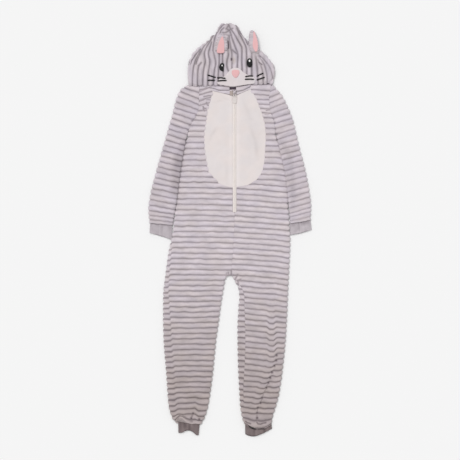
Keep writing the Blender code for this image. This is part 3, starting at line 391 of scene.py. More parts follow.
def pile_group():
    """Short plush fibres: a fine speckle, soft clumps, and the height that lights them."""
    group, start, end = new_group(
        "plush pile",
        (("Colour", "NodeSocketColor", (1, 1, 1, 1)), ("Fibres", "NodeSocketFloat", 700.0),
         ("Clumps", "NodeSocketFloat", 90.0), ("Speckle", "NodeSocketFloat", 0.22),
         ("Mottle", "NodeSocketFloat", 0.12)),
        (("Colour", "NodeSocketColor"), ("Height", "NodeSocketFloat")),
    )
    place = object_place(group)
    fibres = noise(group, place, start["Fibres"], 3.0, Roughness=0.7)
    clumps = noise(group, place, start["Clumps"], 2.0, Distortion=0.6)
    speckle = maths(group, "SUBTRACT", fibres, 0.5)
    mottle = maths(group, "SUBTRACT", clumps, 0.5)
    fine = maths(group, "MULTIPLY_ADD", speckle, start["Speckle"], 1.0)
    both = maths(group, "MULTIPLY_ADD", mottle, start["Mottle"], fine)
    group.links.new(times(group, start["Colour"], both), end["Colour"])
    group.links.new(maths(group, "MULTIPLY_ADD", clumps, 0.6, fibres), end["Height"])
    return group


def painted_falloff_group():
    """Painted shade along the garment, where the light falls off: palest at the chest, darker towards the
    ankles.
    """
    group, start, end = new_group(
        "painted shade along the length",
        (("Colour", "NodeSocketColor", (1, 1, 1, 1)), ("Painted ankle shade", "NodeSocketColor", (0.7, 0.7, 0.7, 1))),
        (("Colour", "NodeSocketColor"),),
    )
    height = node(group, "ShaderNodeSeparateXYZ", {"Vector": object_place(group)}).outputs["Y"]
    down = spread(group, height, (0.0, -0.66), interpolation_type="SMOOTHSTEP")
    ends = {0: down, 4: (1.0, 1.0, 1.0), 5: start["Painted ankle shade"]}
    tone = node(group, "ShaderNodeMix", ends, data_type="VECTOR").outputs[1]
    group.links.new(times(group, start["Colour"], tone), end["Colour"])
    return group


PILE_GROUP = pile_group()
PAINTED_FALLOFF_GROUP = painted_falloff_group()


def srgb_colour(red, green, blue):
    """A linear colour from its 0 to 255 value: the cloth's dyes, and the dark colours of painted shade."""
    return tuple(((c / 255 + 0.055) / 1.055) ** 2.4 for c in (red, green, blue)) + (1.0,)


def new_material(name, values):
    """A material with its shader's own values, and the node tree to build on."""
    made = bpy.data.materials.new(name)
    made.use_nodes = True
    for label, value in values.items():
        made.node_tree.nodes["Principled BSDF"].inputs[label].default_value = value
    return made, made.node_tree


def finish(tree, colour, height, strength, distance):
    """Joins the colour and the bumps of a cloth to its shader."""
    bump = node(tree, "ShaderNodeBump", {"Height": height, "Strength": strength, "Distance": distance})
    shader = tree.nodes["Principled BSDF"]
    tree.links.new(colour, shader.inputs["Base Color"])
    tree.links.new(bump.outputs["Normal"], shader.inputs["Normal"])


def ribbed_plush(name, crest, groove, streak=0.16):
    """Channelled plush: pale pile on the ribs, streaked where the nap is brushed, with painted shade in each
    groove.
    """
    made, tree = new_material(
        name, {"Roughness": 0.95, "Sheen Weight": 0.25, "Sheen Roughness": 0.6, "Specular IOR Level": 0.15}
    )
    along = attribute(tree, "nap", "Vector")
    brushed = noise(tree, times(tree, along, (22.0, 75.0, 7.0)), 1.0, 3.0)
    nap = spread(tree, brushed, (0.3, 0.7), (1 - streak, 1 + streak / 2))
    patches = spread(tree, noise(tree, times(tree, along, (14.0, 38.0, 5.0)), 1.0, 1.0), (0.35, 0.65))
    tint = between(tree, patches, (0.99, 0.995, 1.015, 1), (1.01, 1.005, 0.975, 1))
    dye = times(tree, between(tree, attribute(tree, "groove", "Fac"), crest, groove), tint)
    pile = node(tree, "ShaderNodeGroup", {"Colour": times(tree, dye, nap)}, node_tree=PILE_GROUP).outputs
    # painted shade along the length, darker towards the ankles
    tone = node(tree, "ShaderNodeGroup", {"Colour": pile["Colour"], "Painted ankle shade": (0.68, 0.645, 0.60, 1.0)},
                node_tree=PAINTED_FALLOFF_GROUP)
    finish(tree, tone.outputs["Colour"], pile["Height"], 0.55, 0.0012)
    return made


def dress(piece, coat, solid=None, body="garment"):
    """Gives a piece its cloth, the body that it moves with and the solid that it stands for."""
    piece.data.materials.append(coat)
    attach(piece, body)
    if solid:
        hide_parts(solid)


# the second colour is the painted shade at the bottom of each groove, crease and pinch
body_plush = ribbed_plush("body_plush", srgb_colour(217, 207, 213), srgb_colour(104, 90, 99))
for piece, solid, area in ((back_right, "back_right", 0.180), (back_left, "back_left", 0.164)):
    dress(piece, body_plush, solid)


# ---- Front -----------------------------------------------------------------------------------------
# The front is two panels of the same plush, cut away for the bib and sewn to the back at the sides.
# Each leg has a seam whose rolled-over strip of cloth puts its ribs half a rib off the others.

NECK_Y = 0.4660
ZIP_X = 0.0147
ZIP_WIDTH = 0.0125
ZIP_END_Y = 0.054
ZIP_POINT = 0.004
BIB_BOTTOM_Y = 0.1373
# y, x of the bib's edge
BIB_RIGHT = (
    (0.4439, -0.0535), (0.4100, -0.0610), (0.3790, -0.0710), (0.3410, -0.0760), (0.2990, -0.0810),
    (0.2650, -0.0800), (0.2230, -0.0740), (0.1880, -0.0670), (0.1680, -0.0500), (0.1470, -0.0290),
    (0.1390, -0.0050), (0.1373, 0.0080),
)
BIB_LEFT = (
    (0.4490, 0.0640), (0.4170, 0.0830), (0.3890, 0.0940), (0.3620, 0.1040), (0.3310, 0.1110),
    (0.2960, 0.1130), (0.2580, 0.1110), (0.2230, 0.1090), (0.1950, 0.1040), (0.1740, 0.0940),
    (0.1540, 0.0730), (0.1450, 0.0520), (0.1385, 0.0300), (0.1373, 0.0215),
)
# points along a crease, its half width and its depth as a share of the pile, which also sets its painted
# shade
RIGHT_CREASES = (
    (((-0.1000, 0.4103), (-0.0869, 0.4154), (-0.0749, 0.4205)), 0.0022, 0.7),
    (((-0.0740, 0.4154), (-0.0611, 0.4154)), 0.0022, 0.6),
    (((-0.0832, 0.4264), (-0.0648, 0.4283), (-0.0547, 0.4255)), 0.0022, 0.7),
    (((-0.0859, 0.3934), (-0.0814, 0.3878), (-0.0768, 0.3878)), 0.0022, 0.9),
    (((-0.0749, 0.4062), (-0.0722, 0.3989), (-0.0657, 0.3979)), 0.0022, 0.8),
    (((-0.0850, 0.3869), (-0.0814, 0.3796)), 0.0022, 0.8),
    (((-0.1162, 0.4384), (-0.0942, 0.4429), (-0.0722, 0.4521)), 0.0025, 0.6),
    (((-0.0050, -0.1357), (-0.0053, -0.1456)), 0.0022, 0.8),
    (((-0.0107, -0.1380), (-0.0133, -0.1480)), 0.0022, 0.6),
    (((-0.1180, -0.5865), (-0.1235, -0.6020)), 0.0028, 0.7),
    (((-0.1598, -0.5905), (-0.1669, -0.6048)), 0.0028, 0.6),
    (((-0.1528, -0.5905), (-0.1390, -0.6030), (-0.1208, -0.6130)), 0.0030, 0.55),
)
LEFT_CREASES = (
    (((0.1221, -0.4880), (0.1160, -0.5040), (0.1080, -0.5218), (0.0978, -0.5523)), 0.0016, 0.45),
    (((0.0890, -0.5680), (0.0869, -0.5848), (0.0866, -0.6160)), 0.0018, 0.50),
    (((0.0040, -0.1296), (0.0050, -0.1456)), 0.0024, 0.9),
    (((0.0248, -0.1424), (0.0215, -0.1490), (0.0180, -0.1560)), 0.0024, 0.8),
    (((0.0350, -0.1578), (0.0271, -0.1616), (0.0254, -0.1763)), 0.0024, 0.7),
    (((0.0860, -0.6150), (0.0900, -0.6195), (0.0990, -0.6200), (0.1074, -0.6165), (0.1150, -0.6155)),
     0.0020, 1.0),
    (((0.0500, -0.6120), (0.0560, -0.6170), (0.0660, -0.6190)), 0.0020, 0.9),
    (((0.1128, 0.3695), (0.1238, 0.3695)), 0.0022, 0.5),
    (((0.1164, 0.3823), (0.1256, 0.3842)), 0.0022, 0.7),
)
# painted shade spots where the pile is pinched
RIGHT_SHADE_SPOTS = ((-0.1180, -0.5865), (-0.1235, -0.6020), (-0.0985, -0.6050))
LEFT_SHADE_SPOTS = (
    (0.1488, -0.4000), (0.1474, -0.4163), (0.1419, -0.4340), (0.1339, -0.4547), (0.1282, -0.4717),
    (0.1221, -0.4880), (0.1160, -0.5040), (0.1022, -0.5363), (0.0978, -0.5523), (0.0890, -0.5680),
    (0.0867, -0.5848), (0.0867, -0.6005),
)
# y, x of the left leg's long fold
LEFT_FOLD = (
    (-0.22, 0.1458), (-0.32, 0.1474), (-0.3977, 0.1484), (-0.4160, 0.1474), (-0.4340, 0.1419),
    (-0.4547, 0.1339), (-0.4717, 0.1280), (-0.4880, 0.1221), (-0.5040, 0.1160), (-0.5218, 0.1080),
    (-0.5363, 0.1022), (-0.5523, 0.0978), (-0.5680, 0.0890), (-0.5848, 0.0869), (-0.6160, 0.0866),
)
# the rolled strip along a leg's seam: its width, the step between its ribs and the others', and how
# softly they step, each as y and value
RIGHT_STRIP = {
    "edge": RIGHT_SIDE,
    "width": (
        (-0.04, 0.0040), (-0.07, 0.0095), (-0.13, 0.0118), (-0.22, 0.0185), (-0.32, 0.0255), (-0.45, 0.0260),
        (-0.56, 0.0240),
    ),
    "step": ((-0.03, 0.0), (-0.06, -0.36), (-0.40, -0.34), (-0.50, -0.22), (-0.58, -0.12), (-0.61, 0.0)),
    "blur": ((-0.05, 0.004), (-0.30, 0.004), (-0.36, 0.010), (-0.60, 0.014)),
}
LEFT_STRIP = {
    "edge": LEFT_LEG,
    "width": (
        (-0.12, 0.0020), (-0.17, 0.0080), (-0.20, 0.0140), (-0.24, 0.0185), (-0.33, 0.0250), (-0.39, 0.0240),
        (-0.42, 0.0220), (-0.4554, 0.0190), (-0.48, 0.0160), (-0.51, 0.0130), (-0.56, 0.0120),
    ),
    "step": (
        (-0.15, 0.0), (-0.18, 0.48), (-0.30, 0.58), (-0.33, 0.62), (-0.386, 0.56), (-0.43, 0.50),
        (-0.475, 0.44), (-0.51, 0.34), (-0.545, 0.32), (-0.564, 0.15), (-0.585, 0.0),
    ),
    "blur": ((-0.15, 0.0016), (-0.52, 0.0020), (-0.57, 0.010)),
}


def to_segment(x, y, start, end):
    """How far along a straight line each place is, from 0 to 1, and how far away from it."""
    run_x, run_y = end[0] - start[0], end[1] - start[1]
    t = np.clip(((x - start[0]) * run_x + (y - start[1]) * run_y) / (run_x**2 + run_y**2 + 1e-12), 0, 1)
    return t, np.hypot(x - start[0] - run_x * t, y - start[1] - run_y * t)


def from_lines(x, y, lines):
    """How far each place is from the nearest of some lines of points."""
    nearest = np.ones(x.shape)
    for line in lines:
        for start, end in zip(line, line[1:]):
            nearest = np.minimum(nearest, to_segment(x, y, start, end)[1])
    return nearest


def pressed_in(x, y, creases):
    """How deep the creases press the pile, from 0 to 1."""
    deep = np.zeros(x.shape)
    for points, half, depth in creases:
        deep = np.maximum(deep, depth * bell(from_lines(x, y, [points]), half))
    return deep


def painted_shade_spots(x, y, shade_marks):
    """Painted shade where the pile is pinched, as a dark spot: 1 there, 0 a few millimetres away."""
    return bell(np.min([np.hypot(x - spot_x, y - spot_y) for spot_x, spot_y in shade_marks], axis=0), 0.0042)


def right_puckers(x, y):
    """The right leg's ribs step down to each side above the ankle, where the cloth is gathered."""
    low = ease((-0.515 - y) / 0.06)
    inner_step = 0.0075 * ease((x + 0.114) / 0.015) * (1 - 0.7 * ease((-0.590 - y) / 0.022))
    outer_step = 0.0050 * ease((-0.166 - x) / 0.012)
    lobes = 0.017 * bell(x + 0.158, 0.015) - 0.002 * bell(x + 0.122, 0.008)
    return ease((-0.585 - y) / 0.033) * lobes - (inner_step + outer_step) * low


def left_puckers(x, y):
    """The left leg's ribs sag beside its long fold and start again a little higher past it."""
    past = x - smooth_line(LEFT_FOLD)(y)
    sag = np.interp(-y, (0.20, 0.30, 0.39, 0.42, 0.50, 0.60), (0.0, 0.0068, 0.0075, 0.0040, 0.0030, 0.0020))
    before = ease((past + 0.032) / 0.013) * (1 - ease((past + 0.010) / 0.011))
    rise = np.interp(-y, (0.25, 0.33, 0.45, 0.55, 0.60), (0.0, 0.0015, 0.0030, 0.0025, 0.0))
    after = ease((past + 0.002) / 0.005) * (1 - ease((past - 0.006) / 0.016))
    turned_over = 0.0190 * ease((-0.590 - y) / 0.028) * np.clip(1 - ((x - 0.0905) / 0.046) ** 2, 0, 1)
    return rise * after - sag * before - turned_over


def front_panel(
    name, lines, ends, side_table, leg_table, bib_table, toward_side, strip, puckers, creases, shade_marks, seed
):
    """A panel with its edge cut for the bib and the zip, its rolled strip, its puckers and its creases."""
    seam = inner_edge(leg_table)
    bib = smooth_line([(NECK_Y + 0.002, bib_table[0][1] + toward_side * 0.002), *bib_table])

    def inner(y):
        tape = seam(y) + toward_side * ZIP_WIDTH / 2 * ease((y - ZIP_END_Y) / ZIP_POINT)
        return np.where(y > BIB_BOTTOM_Y, bib(y), tape)

    numbers = rows_down(ends, 13)
    bib_end = np.interp(BIB_BOTTOM_Y, lines(numbers, np.full(len(numbers), 0.02))[::-1], numbers[::-1])
    numbers = np.unique(np.concatenate([numbers, np.linspace(bib_end - 0.9, bib_end + 0.4, 90)]))
    x, lean = panel(lines, numbers, smooth_line(side_table), inner, toward_side, 76)
    y = lines(numbers, x)
    y = y + puckers(x, y)
    edge, width, step, blur = (smooth_line(strip[label])(y) for label in ("edge", "width", "step", "blur"))
    rolled = ease(0.5 + (width - np.abs(x - edge)) / blur)
    phase = numbers[:, None] + step * rolled
    crease = pressed_in(x, y, creases)
    at_step = np.abs(step) * rolled * (1 - rolled)
    full = rib_swell(phase) * (1 - crease) * (1 - at_step)
    swell = 0.0004 * unevenness(x, y, 0.045, seed + 4) + 0.0003 * unevenness(x, y, 0.012, seed + 5)
    z = mix(MIDDLE, MIDDLE + GROUND + (PILE + swell) * full + 0.0008 * rolled, lean)
    y = y + wobble(x, y, seed) * lean
    # painted shade: in each groove, stronger where the rolled strip steps and towards the ankles, and in the
    # creases and at the pinched spots
    shade_gain = 1 + 0.30 * rolled * np.minimum(np.abs(step) * 4, 1) * np.minimum(np.abs(1 - step) * 4, 1)
    shade_gain = shade_gain * np.interp(y, (-0.60, -0.42, -0.10, 0.10), (1.36, 1.14, 0.95, 0.88))
    painted_shade = np.maximum(np.maximum(groove_shade(phase) * shade_gain, 0.75 * crease), painted_shade_spots(x, y, shade_marks))
    return panel_wall(name, x, y, z, phase, MIDDLE + LAYER_GAP, np.minimum(painted_shade, 1.0), seed)


front_right = front_panel(
    "front_right_plush", RIGHT_LINES, (-1, 61.7), RIGHT_SIDE, RIGHT_LEG, BIB_RIGHT, -1, RIGHT_STRIP,
    right_puckers, RIGHT_CREASES, RIGHT_SHADE_SPOTS, 21,
)
front_left = front_panel(
    "front_left_plush", LEFT_LINES, (-2, 61.2), LEFT_SIDE, LEFT_LEG, BIB_LEFT, 1, LEFT_STRIP,
    left_puckers, LEFT_CREASES, LEFT_SHADE_SPOTS, 22,
)
for piece, solid, area in ((front_right, "front_right", 0.153), (front_left, "front_left", 0.137)):
    dress(piece, body_plush, solid)


# ---- Sleeves ---------------------------------------------------------------------------------------
# Each sleeve is one piece of the plush folded round and seamed under the arm, set into the armhole.
# Below the underarm it lies on the body's edge.

SLEEVE_RIBS = 26
ROWS_PER_RIB = 14
BODY_TOP = 0.0108  # how high the body's edge lifts it
LIFT_START_Y = 0.310  # from here down to the next the sleeve comes to lie on the body's edge
LIFT_END_Y = 0.2845
WRIST_Y = 0.042
# x and y of the outer edge, then of the inner edge, from the shoulder to the wrist
SLEEVE_RIGHT = (
    (-0.1335, 0.4655, -0.0980, 0.4600), (-0.1580, 0.4480, -0.0997, 0.4250),
    (-0.1730, 0.4160, -0.1010, 0.3900), (-0.1850, 0.3680, -0.1195, 0.3470),
    (-0.2010, 0.3130, -0.1390, 0.2940), (-0.2170, 0.2560, -0.1500, 0.2370),
    (-0.2370, 0.1850, -0.1610, 0.1680), (-0.2540, 0.1180, -0.1690, 0.1005),
    (-0.2610, 0.0670, -0.1770, 0.0540), (-0.2574, 0.0227, -0.1830, 0.0163),
)
SLEEVE_LEFT = (
    (0.1365, 0.4655, 0.1310, 0.4610), (0.1650, 0.4320, 0.1262, 0.4157),
    (0.1840, 0.3965, 0.1290, 0.3770), (0.2020, 0.3485, 0.1410, 0.3310),
    (0.2120, 0.3070, 0.1510, 0.2890), (0.2240, 0.2570, 0.1620, 0.2400),
    (0.2390, 0.2000, 0.1750, 0.1820), (0.2520, 0.1340, 0.1830, 0.1150),
    (0.2590, 0.0765, 0.1900, 0.0570), (0.2574, 0.0320, 0.1925, 0.0210),
)
# painted shade spots where the sleeve tucks in beside the armhole
ARMHOLE_SHADE_SPOTS = (
    (-0.1090, 0.3670), (-0.1205, 0.3500), (-0.1290, 0.3355), (-0.1350, 0.3200),
    (0.1320, 0.3690), (0.1372, 0.3548), (0.1429, 0.3420), (0.1450, 0.3232), (0.1500, 0.3060),
)


def length_along(points):
    """How far along a line each of its points is."""
    return np.concatenate([[0], np.cumsum(np.linalg.norm(np.diff(points, axis=0), axis=1))])


def sleeve(name, table, side_table, toward_side, groove_shade_strength, body_shadow, seed):
    """Rows run down the arm, and each goes over the upper layer, back along the lower one and inside."""
    lengths = length_along(np.array([((r[0] + r[2]) / 2, (r[1] + r[3]) / 2) for r in table]))
    share = np.arange(SLEEVE_RIBS * ROWS_PER_RIB + 1) / (SLEEVE_RIBS * ROWS_PER_RIB)
    edges = smooth_columns(table, lengths / lengths[-1])
    outer_x, outer_y, inner_x, inner_y = (edge(share) for edge in edges)
    armhole = smooth_line(side_table)
    limit = armhole(inner_y) + toward_side * 0.0001
    held = (inner_y > UNDERARM_Y) | ((inner_y > LIFT_END_Y) & ((limit - inner_x) * toward_side > 0))
    inner_x = np.where(held, limit, inner_x)
    width = np.hypot(inner_x - outer_x, inner_y - outer_y)
    free = free_below(UNDERARM_Y, inner_y)
    outer_roll, inner_roll = np.minimum(FOLD, 0.35 * width), np.minimum(mix(SEAM, FOLD, free), 0.35 * width)
    phase = share * SLEEVE_RIBS + 0.6 * ease((share - 0.90) / 0.10)
    full = rib_swell(phase)
    drawn_in = scallop(full)

    def columns(spots):
        """spots: each an edge with a turn round it, or a share of the flat between the edges."""
        across = []
        for edge, value in spots:
            turn = np.cos(value)
            if edge == "outer":
                across.append(outer_roll * (1 - turn) + drawn_in * turn)
            elif edge == "inner":
                across.append(width - inner_roll * (1 - turn) - 0.4 * drawn_in * turn * free)
            else:
                across.append(mix(outer_roll, width - inner_roll, value))
        along = np.stack(across, axis=-1) / width[:, None]
        lean = np.array([1.0 if edge == "flat" else np.sin(value) for edge, value in spots])
        at_armhole = np.array([edge == "inner" for edge, value in spots])
        x, y = mix(outer_x[:, None], inner_x[:, None], along), mix(outer_y[:, None], inner_y[:, None], along)
        return x, y, np.where(at_armhole, edge_lean(lean, free[:, None]), lean)

    flats = [("flat", value) for value in np.linspace(1, 0, 34)[1:-1]]
    round_top = [("inner", value) for value in TURN] + flats + [("outer", value) for value in TURN[::-1]]
    inside = [("flat", value) for value in np.linspace(0.85, 0.0, 14)]
    top_x, top_y, top_lean = columns(round_top)
    low_x, low_y, low_lean = columns(round_top[::2][::-1])
    in_x, in_y, _ = columns(inside + inside[-2::-1])
    full = full[:, None]
    crest = MIDDLE + GROUND + (PILE + 0.0005 * unevenness(top_x, top_y, 0.04, seed)) * full
    top_z = mix(MIDDLE, crest, top_lean)
    low_z = mix(MIDDLE, GROOVE_LIFT * (1 - full), low_lean)
    in_z = np.broadcast_to(MIDDLE + 0.0008 * np.sign(np.arange(in_x.shape[1]) - len(inside) + 1), in_x.shape)
    x = np.concatenate([top_x, low_x, in_x], axis=1)
    y = np.concatenate([top_y, low_y, in_y], axis=1)
    z = np.concatenate([top_z, low_z, in_z], axis=1)
    past_underarm = ease((LIFT_START_Y - y) / (LIFT_START_Y - LIFT_END_Y))
    before_wrist = ease((y - WRIST_Y) / 0.050)
    inward = (armhole(y) - x) * toward_side
    z = z + BODY_TOP * past_underarm * before_wrist * ease((inward + 0.025) / 0.025)
    y = y + wobble(x, y, seed)
    phases = np.broadcast_to(phase[:, None], x.shape)
    # painted shadow beside the body's edge, with painted shade in each groove and in spots beside the armhole
    beside_body = body_shadow * ease(1 + inward / 0.026) * past_underarm * ease((y - 0.09) / 0.05)
    painted_shade = groove_shade(phases) * groove_shade_strength + beside_body
    painted_shade = np.maximum(painted_shade, 0.65 * painted_shade_spots(x, y, ARMHOLE_SHADE_SPOTS))
    painted_shade[:, -in_x.shape[1]:] = 0.0
    return cloth(name, places(x, y, z), painted_shade, places(x, phases * RIB, seed))


# the second colour is the painted shade at the bottom of each groove
sleeve_plush = ribbed_plush("sleeve_plush", srgb_colour(211, 201, 208), srgb_colour(94, 80, 90))
for name, table, side, toward, groove_shade_strength, body_shadow, seed, area in (
    ("sleeve_right", SLEEVE_RIGHT, RIGHT_SIDE, -1, 0.95, 0.27, 31, 0.067),
    ("sleeve_left", SLEEVE_LEFT, LEFT_SIDE, 1, 0.60, 0.11, 32, 0.055),
):
    piece = sleeve(name + "_plush", table, side, toward, groove_shade_strength, body_shadow, seed)
    dress(piece, sleeve_plush, name)


# ---- Cuffs -----------------------------------------------------------------------------------------
# Wrist and ankle cuffs are folded tubes of fine rib knit, one stitch up and one down, sewn to the
# gathered cloth above and left to curl a little at their hems.

WALE = 0.0030  # from one raised stitch line to the next
# share of the width from the low-x end, top edge y, upper layer's hem y, lower layer's hem y; then the
# x of both ends at the top and at the hem
CUFFS = {
    "sleeve_cuff_right": (
        ((0.0, 0.0221, -0.0086, -0.0080), (0.5, 0.0191, -0.0180, -0.0200), (1.0, 0.0162, -0.0314, -0.0300)),
        (-0.2552, -0.1847), (-0.2574, -0.1860),
    ),
    "sleeve_cuff_left": (
        ((0.0, 0.0209, -0.0160, -0.0150), (0.5, 0.0262, -0.0085, -0.0100), (1.0, 0.0315, 0.0016, 0.0020)),
        (0.1912, 0.2571), (0.1928, 0.2610),
    ),
    "leg_cuff_right": (
        ((0.0, -0.6020, -0.6485, -0.6480), (0.16, -0.6020, -0.6480, -0.6470),
         (0.42, -0.6020, -0.6385, -0.6410), (0.66, -0.6020, -0.6440, -0.6440),
         (0.94, -0.6020, -0.6560, -0.6550), (1.0, -0.6020, -0.6550, -0.6540)),
        (-0.1662, -0.0958), (-0.1650, -0.1003),
    ),
    "leg_cuff_left": (
        ((0.0, -0.6100, -0.6505, -0.6530), (0.12, -0.6100, -0.6555, -0.6585),
         (0.30, -0.6100, -0.6585, -0.6610), (0.55, -0.6100, -0.6535, -0.6550),
         (1.0, -0.6100, -0.6340, -0.6360)),
        (0.0482, 0.1314), (0.0488, 0.1342),
    ),
}


def once_round(count):
    """Evenly spaced angles that go once round."""
    return np.linspace(0, 2 * np.pi, count, endpoint=False)


def squared(wave, power):
    """Makes a wave between -1 and 1 fuller, so that what it goes round has squarer corners."""
    return np.sign(wave) * np.abs(wave) ** power


def cuff(name, table, top_x, hem_x, seed):
    """Rows run from the seam down to the hem. Each goes over the upper layer, round its edge and back."""
    top_y, upper_hem, lower_hem = smooth_columns(table)
    down = np.linspace(0, 1, 30)[:, None]
    width = abs(top_x[1] - top_x[0])
    turn = once_round(220)
    from_edge = np.abs(np.sin(turn))
    share = 0.5 + 0.5 * squared(np.cos(turn), 0.55)
    upper = np.sin(turn) >= 0
    wales = np.cos(share * width / WALE * 2 * np.pi)
    thick = 0.0027 * from_edge**0.35
    curl = 0.0009 * bell(1 - down, 0.10)
    tucked = 0.25 + 0.75 * ease(down / 0.22)
    folds = 0.0007 * unevenness(share * width, down * 0.02, 0.011, seed) * from_edge * ease(down * 4)
    z = mix(MIDDLE, 0.0027, tucked) + np.where(upper, 1, -1) * thick * tucked
    z = z + upper * ((0.00028 * wales * from_edge + curl) * tucked + folds)
    z = np.maximum(z - ~upper * 0.0002 * wales * (thick > 0.002), 0.0)
    x = mix(mix(*top_x, share), mix(*hem_x, share), down)
    y = mix(top_y(share), np.where(upper, upper_hem(share), lower_hem(share)), down)
    # painted shade: on the sunk wales, in the folds' hollows and less on their tops, under the gathered cloth
    # at the top and along the curled hem
    shade = np.clip(0.5 - 0.5 * wales, 0, 1) * 0.42 - folds * 450 + 0.35 * bell(down, 0.30)
    shade = np.clip(shade + 0.25 * bell(1 - down, 0.06), 0, 1)
    return cloth(name, places(x, y, z), shade, places(share * width, y, seed))


def rib_knit(name, raised, sunk):
    """Rib knit: pale raised wales and painted shade on the sunk ones, with rows of small stitches across
    them.
    """
    made, tree = new_material(name, {"Roughness": 0.9, "Sheen Weight": 0.15, "Specular IOR Level": 0.2})
    dyes = between(tree, attribute(tree, "groove", "Fac"), raised, sunk)
    along = attribute(tree, "nap", "Vector")
    courses = node(tree, "ShaderNodeTexWave", {"Vector": along, "Scale": 160.0, "Distortion": 1.5},
                   bands_direction="Y")
    pile = node(tree, "ShaderNodeGroup", {"Colour": dyes, "Speckle": 0.16}, node_tree=PILE_GROUP).outputs
    height = maths(tree, "ADD", courses.outputs["Fac"], pile["Height"])
    finish(tree, pile["Colour"], height, 0.4, 0.0005)
    return made


# each knit's second colour is the painted shade on its sunk wales
wrist_knit = rib_knit("wrist_knit", srgb_colour(196, 188, 193), srgb_colour(160, 151, 157))
ankle_knit = rib_knit("ankle_knit", srgb_colour(133, 120, 120), srgb_colour(84, 73, 75))
for seed, (name, (table, top_x, hem_x)) in enumerate(CUFFS.items(), 41):
    piece = cuff(name + "_knit", table, top_x, hem_x, seed)
    dress(piece, wrist_knit if name.startswith("sleeve") else ankle_knit, name)


# ---- Bib -------------------------------------------------------------------------------------------
# The bib is two halves of smooth cream fleece set into the fronts, its edge tucked under the plush.
# A strip of the plush crosses above each half, between the bib and the neckline.

BIB_TOP = 0.0092
BIB_TUCK = 0.0022  # how far its edge goes under the plush
# each fold from one place to another, its half width and depth
BIB_FOLDS = (
    ((0.066, 0.332), (0.0815, 0.280), 0.0055, 0.0011), ((0.0815, 0.290), (0.0880, 0.225), 0.0060, 0.0011),
    ((-0.040, 0.326), (-0.059, 0.3015), 0.0050, 0.0010), ((-0.057, 0.306), (-0.0670, 0.275), 0.0055, 0.0008),
    ((-0.050, 0.408), (-0.020, 0.4130), 0.0032, 0.0008), ((-0.022, 0.423), (0.002, 0.4120), 0.0032, 0.0006),
    ((0.040, 0.418), (0.070, 0.352), 0.0060, 0.0006), ((-0.012, 0.215), (-0.009, 0.142), 0.0060, 0.0005),
    ((0.084, 0.335), (0.098, 0.215), 0.0150, 0.0005), ((0.050, 0.400), (0.066, 0.330), 0.0150, 0.0004),
)


def unit(runs):
    """Directions of length 1."""
    return runs / np.linalg.norm(runs, axis=-1)[..., None]


def rounded(share, least=0.0):
    """How high a round edge stands, from 0 at its rim to 1 where it has turned level."""
    return np.sqrt(np.clip(1 - (1 - np.clip(share, 0, 1)) ** 2, least, 1))


def lining(face, columns, height):
    """The plain wrong side of a piece: a few of its columns, laid at one height."""
    under = face[:, columns].copy()
    under[..., 2] = height
    return under


def bib_edge(table, outward):
    """Points down the bib's edge, moved out so that they lie under the plush, and their first height."""
    points = np.array([(x, y) for y, x in table])
    length = length_along(points)
    steps = np.linspace(0, length[-1], 110)
    x, y = (line(steps) for line in smooth_columns(points, length))
    run = unit(np.stack([np.gradient(x), np.gradient(y)], axis=-1))
    normal = np.stack([run[:, 1], -run[:, 0]], axis=-1)
    normal *= np.sign(normal[50, 0] * outward)
    return x + normal[:, 0] * BIB_TUCK, y + normal[:, 1] * BIB_TUCK, y


def bib_half(name, table, toward_side, dip, seed):
    edge_x, edge_y, level = bib_edge(table, toward_side)
    zip_edge = ZIP_X + toward_side * (ZIP_WIDTH / 2 - 0.0004)
    share = np.concatenate([[0, 0.03], np.linspace(0.06, 0.9, 30), [0.93, 0.96, 0.98, 0.995, 1.0]])
    depth = ease(1 - (table[0][0] - level) / 0.06)[:, None]
    x = mix(edge_x[:, None], zip_edge, share)
    y = edge_y[:, None] - dip * share * depth
    soft = 0.0005 * unevenness(x, y, 0.06, seed) + 0.00015 * unevenness(x, y, 0.02, seed + 1)
    # painted light beside the zip, where the bib's edge meets the tape, and painted shade in each fold
    shade = -0.30 * bell(np.abs(x - zip_edge) - 0.005, 0.006)
    for start, end, half, deep in BIB_FOLDS:
        t, away = to_segment(x, y, start, end)
        trough = deep * bell(away, half) * np.sin(np.pi * np.clip(t, 0.12, 0.88))
        soft = soft - trough
        shade = shade + trough * 650
    z = MIDDLE + (BIB_TOP - MIDDLE + soft) * (0.80 + 0.20 * ease(np.abs(x - zip_edge) / 0.005))
    top = places(x, y, z)
    back = [-1, 24, 12, 0]
    ring = np.concatenate([top, lining(top, back, MIDDLE + LAYER_GAP)], axis=1)
    return cloth(name, ring, np.concatenate([shade, shade[:, back]], axis=1))


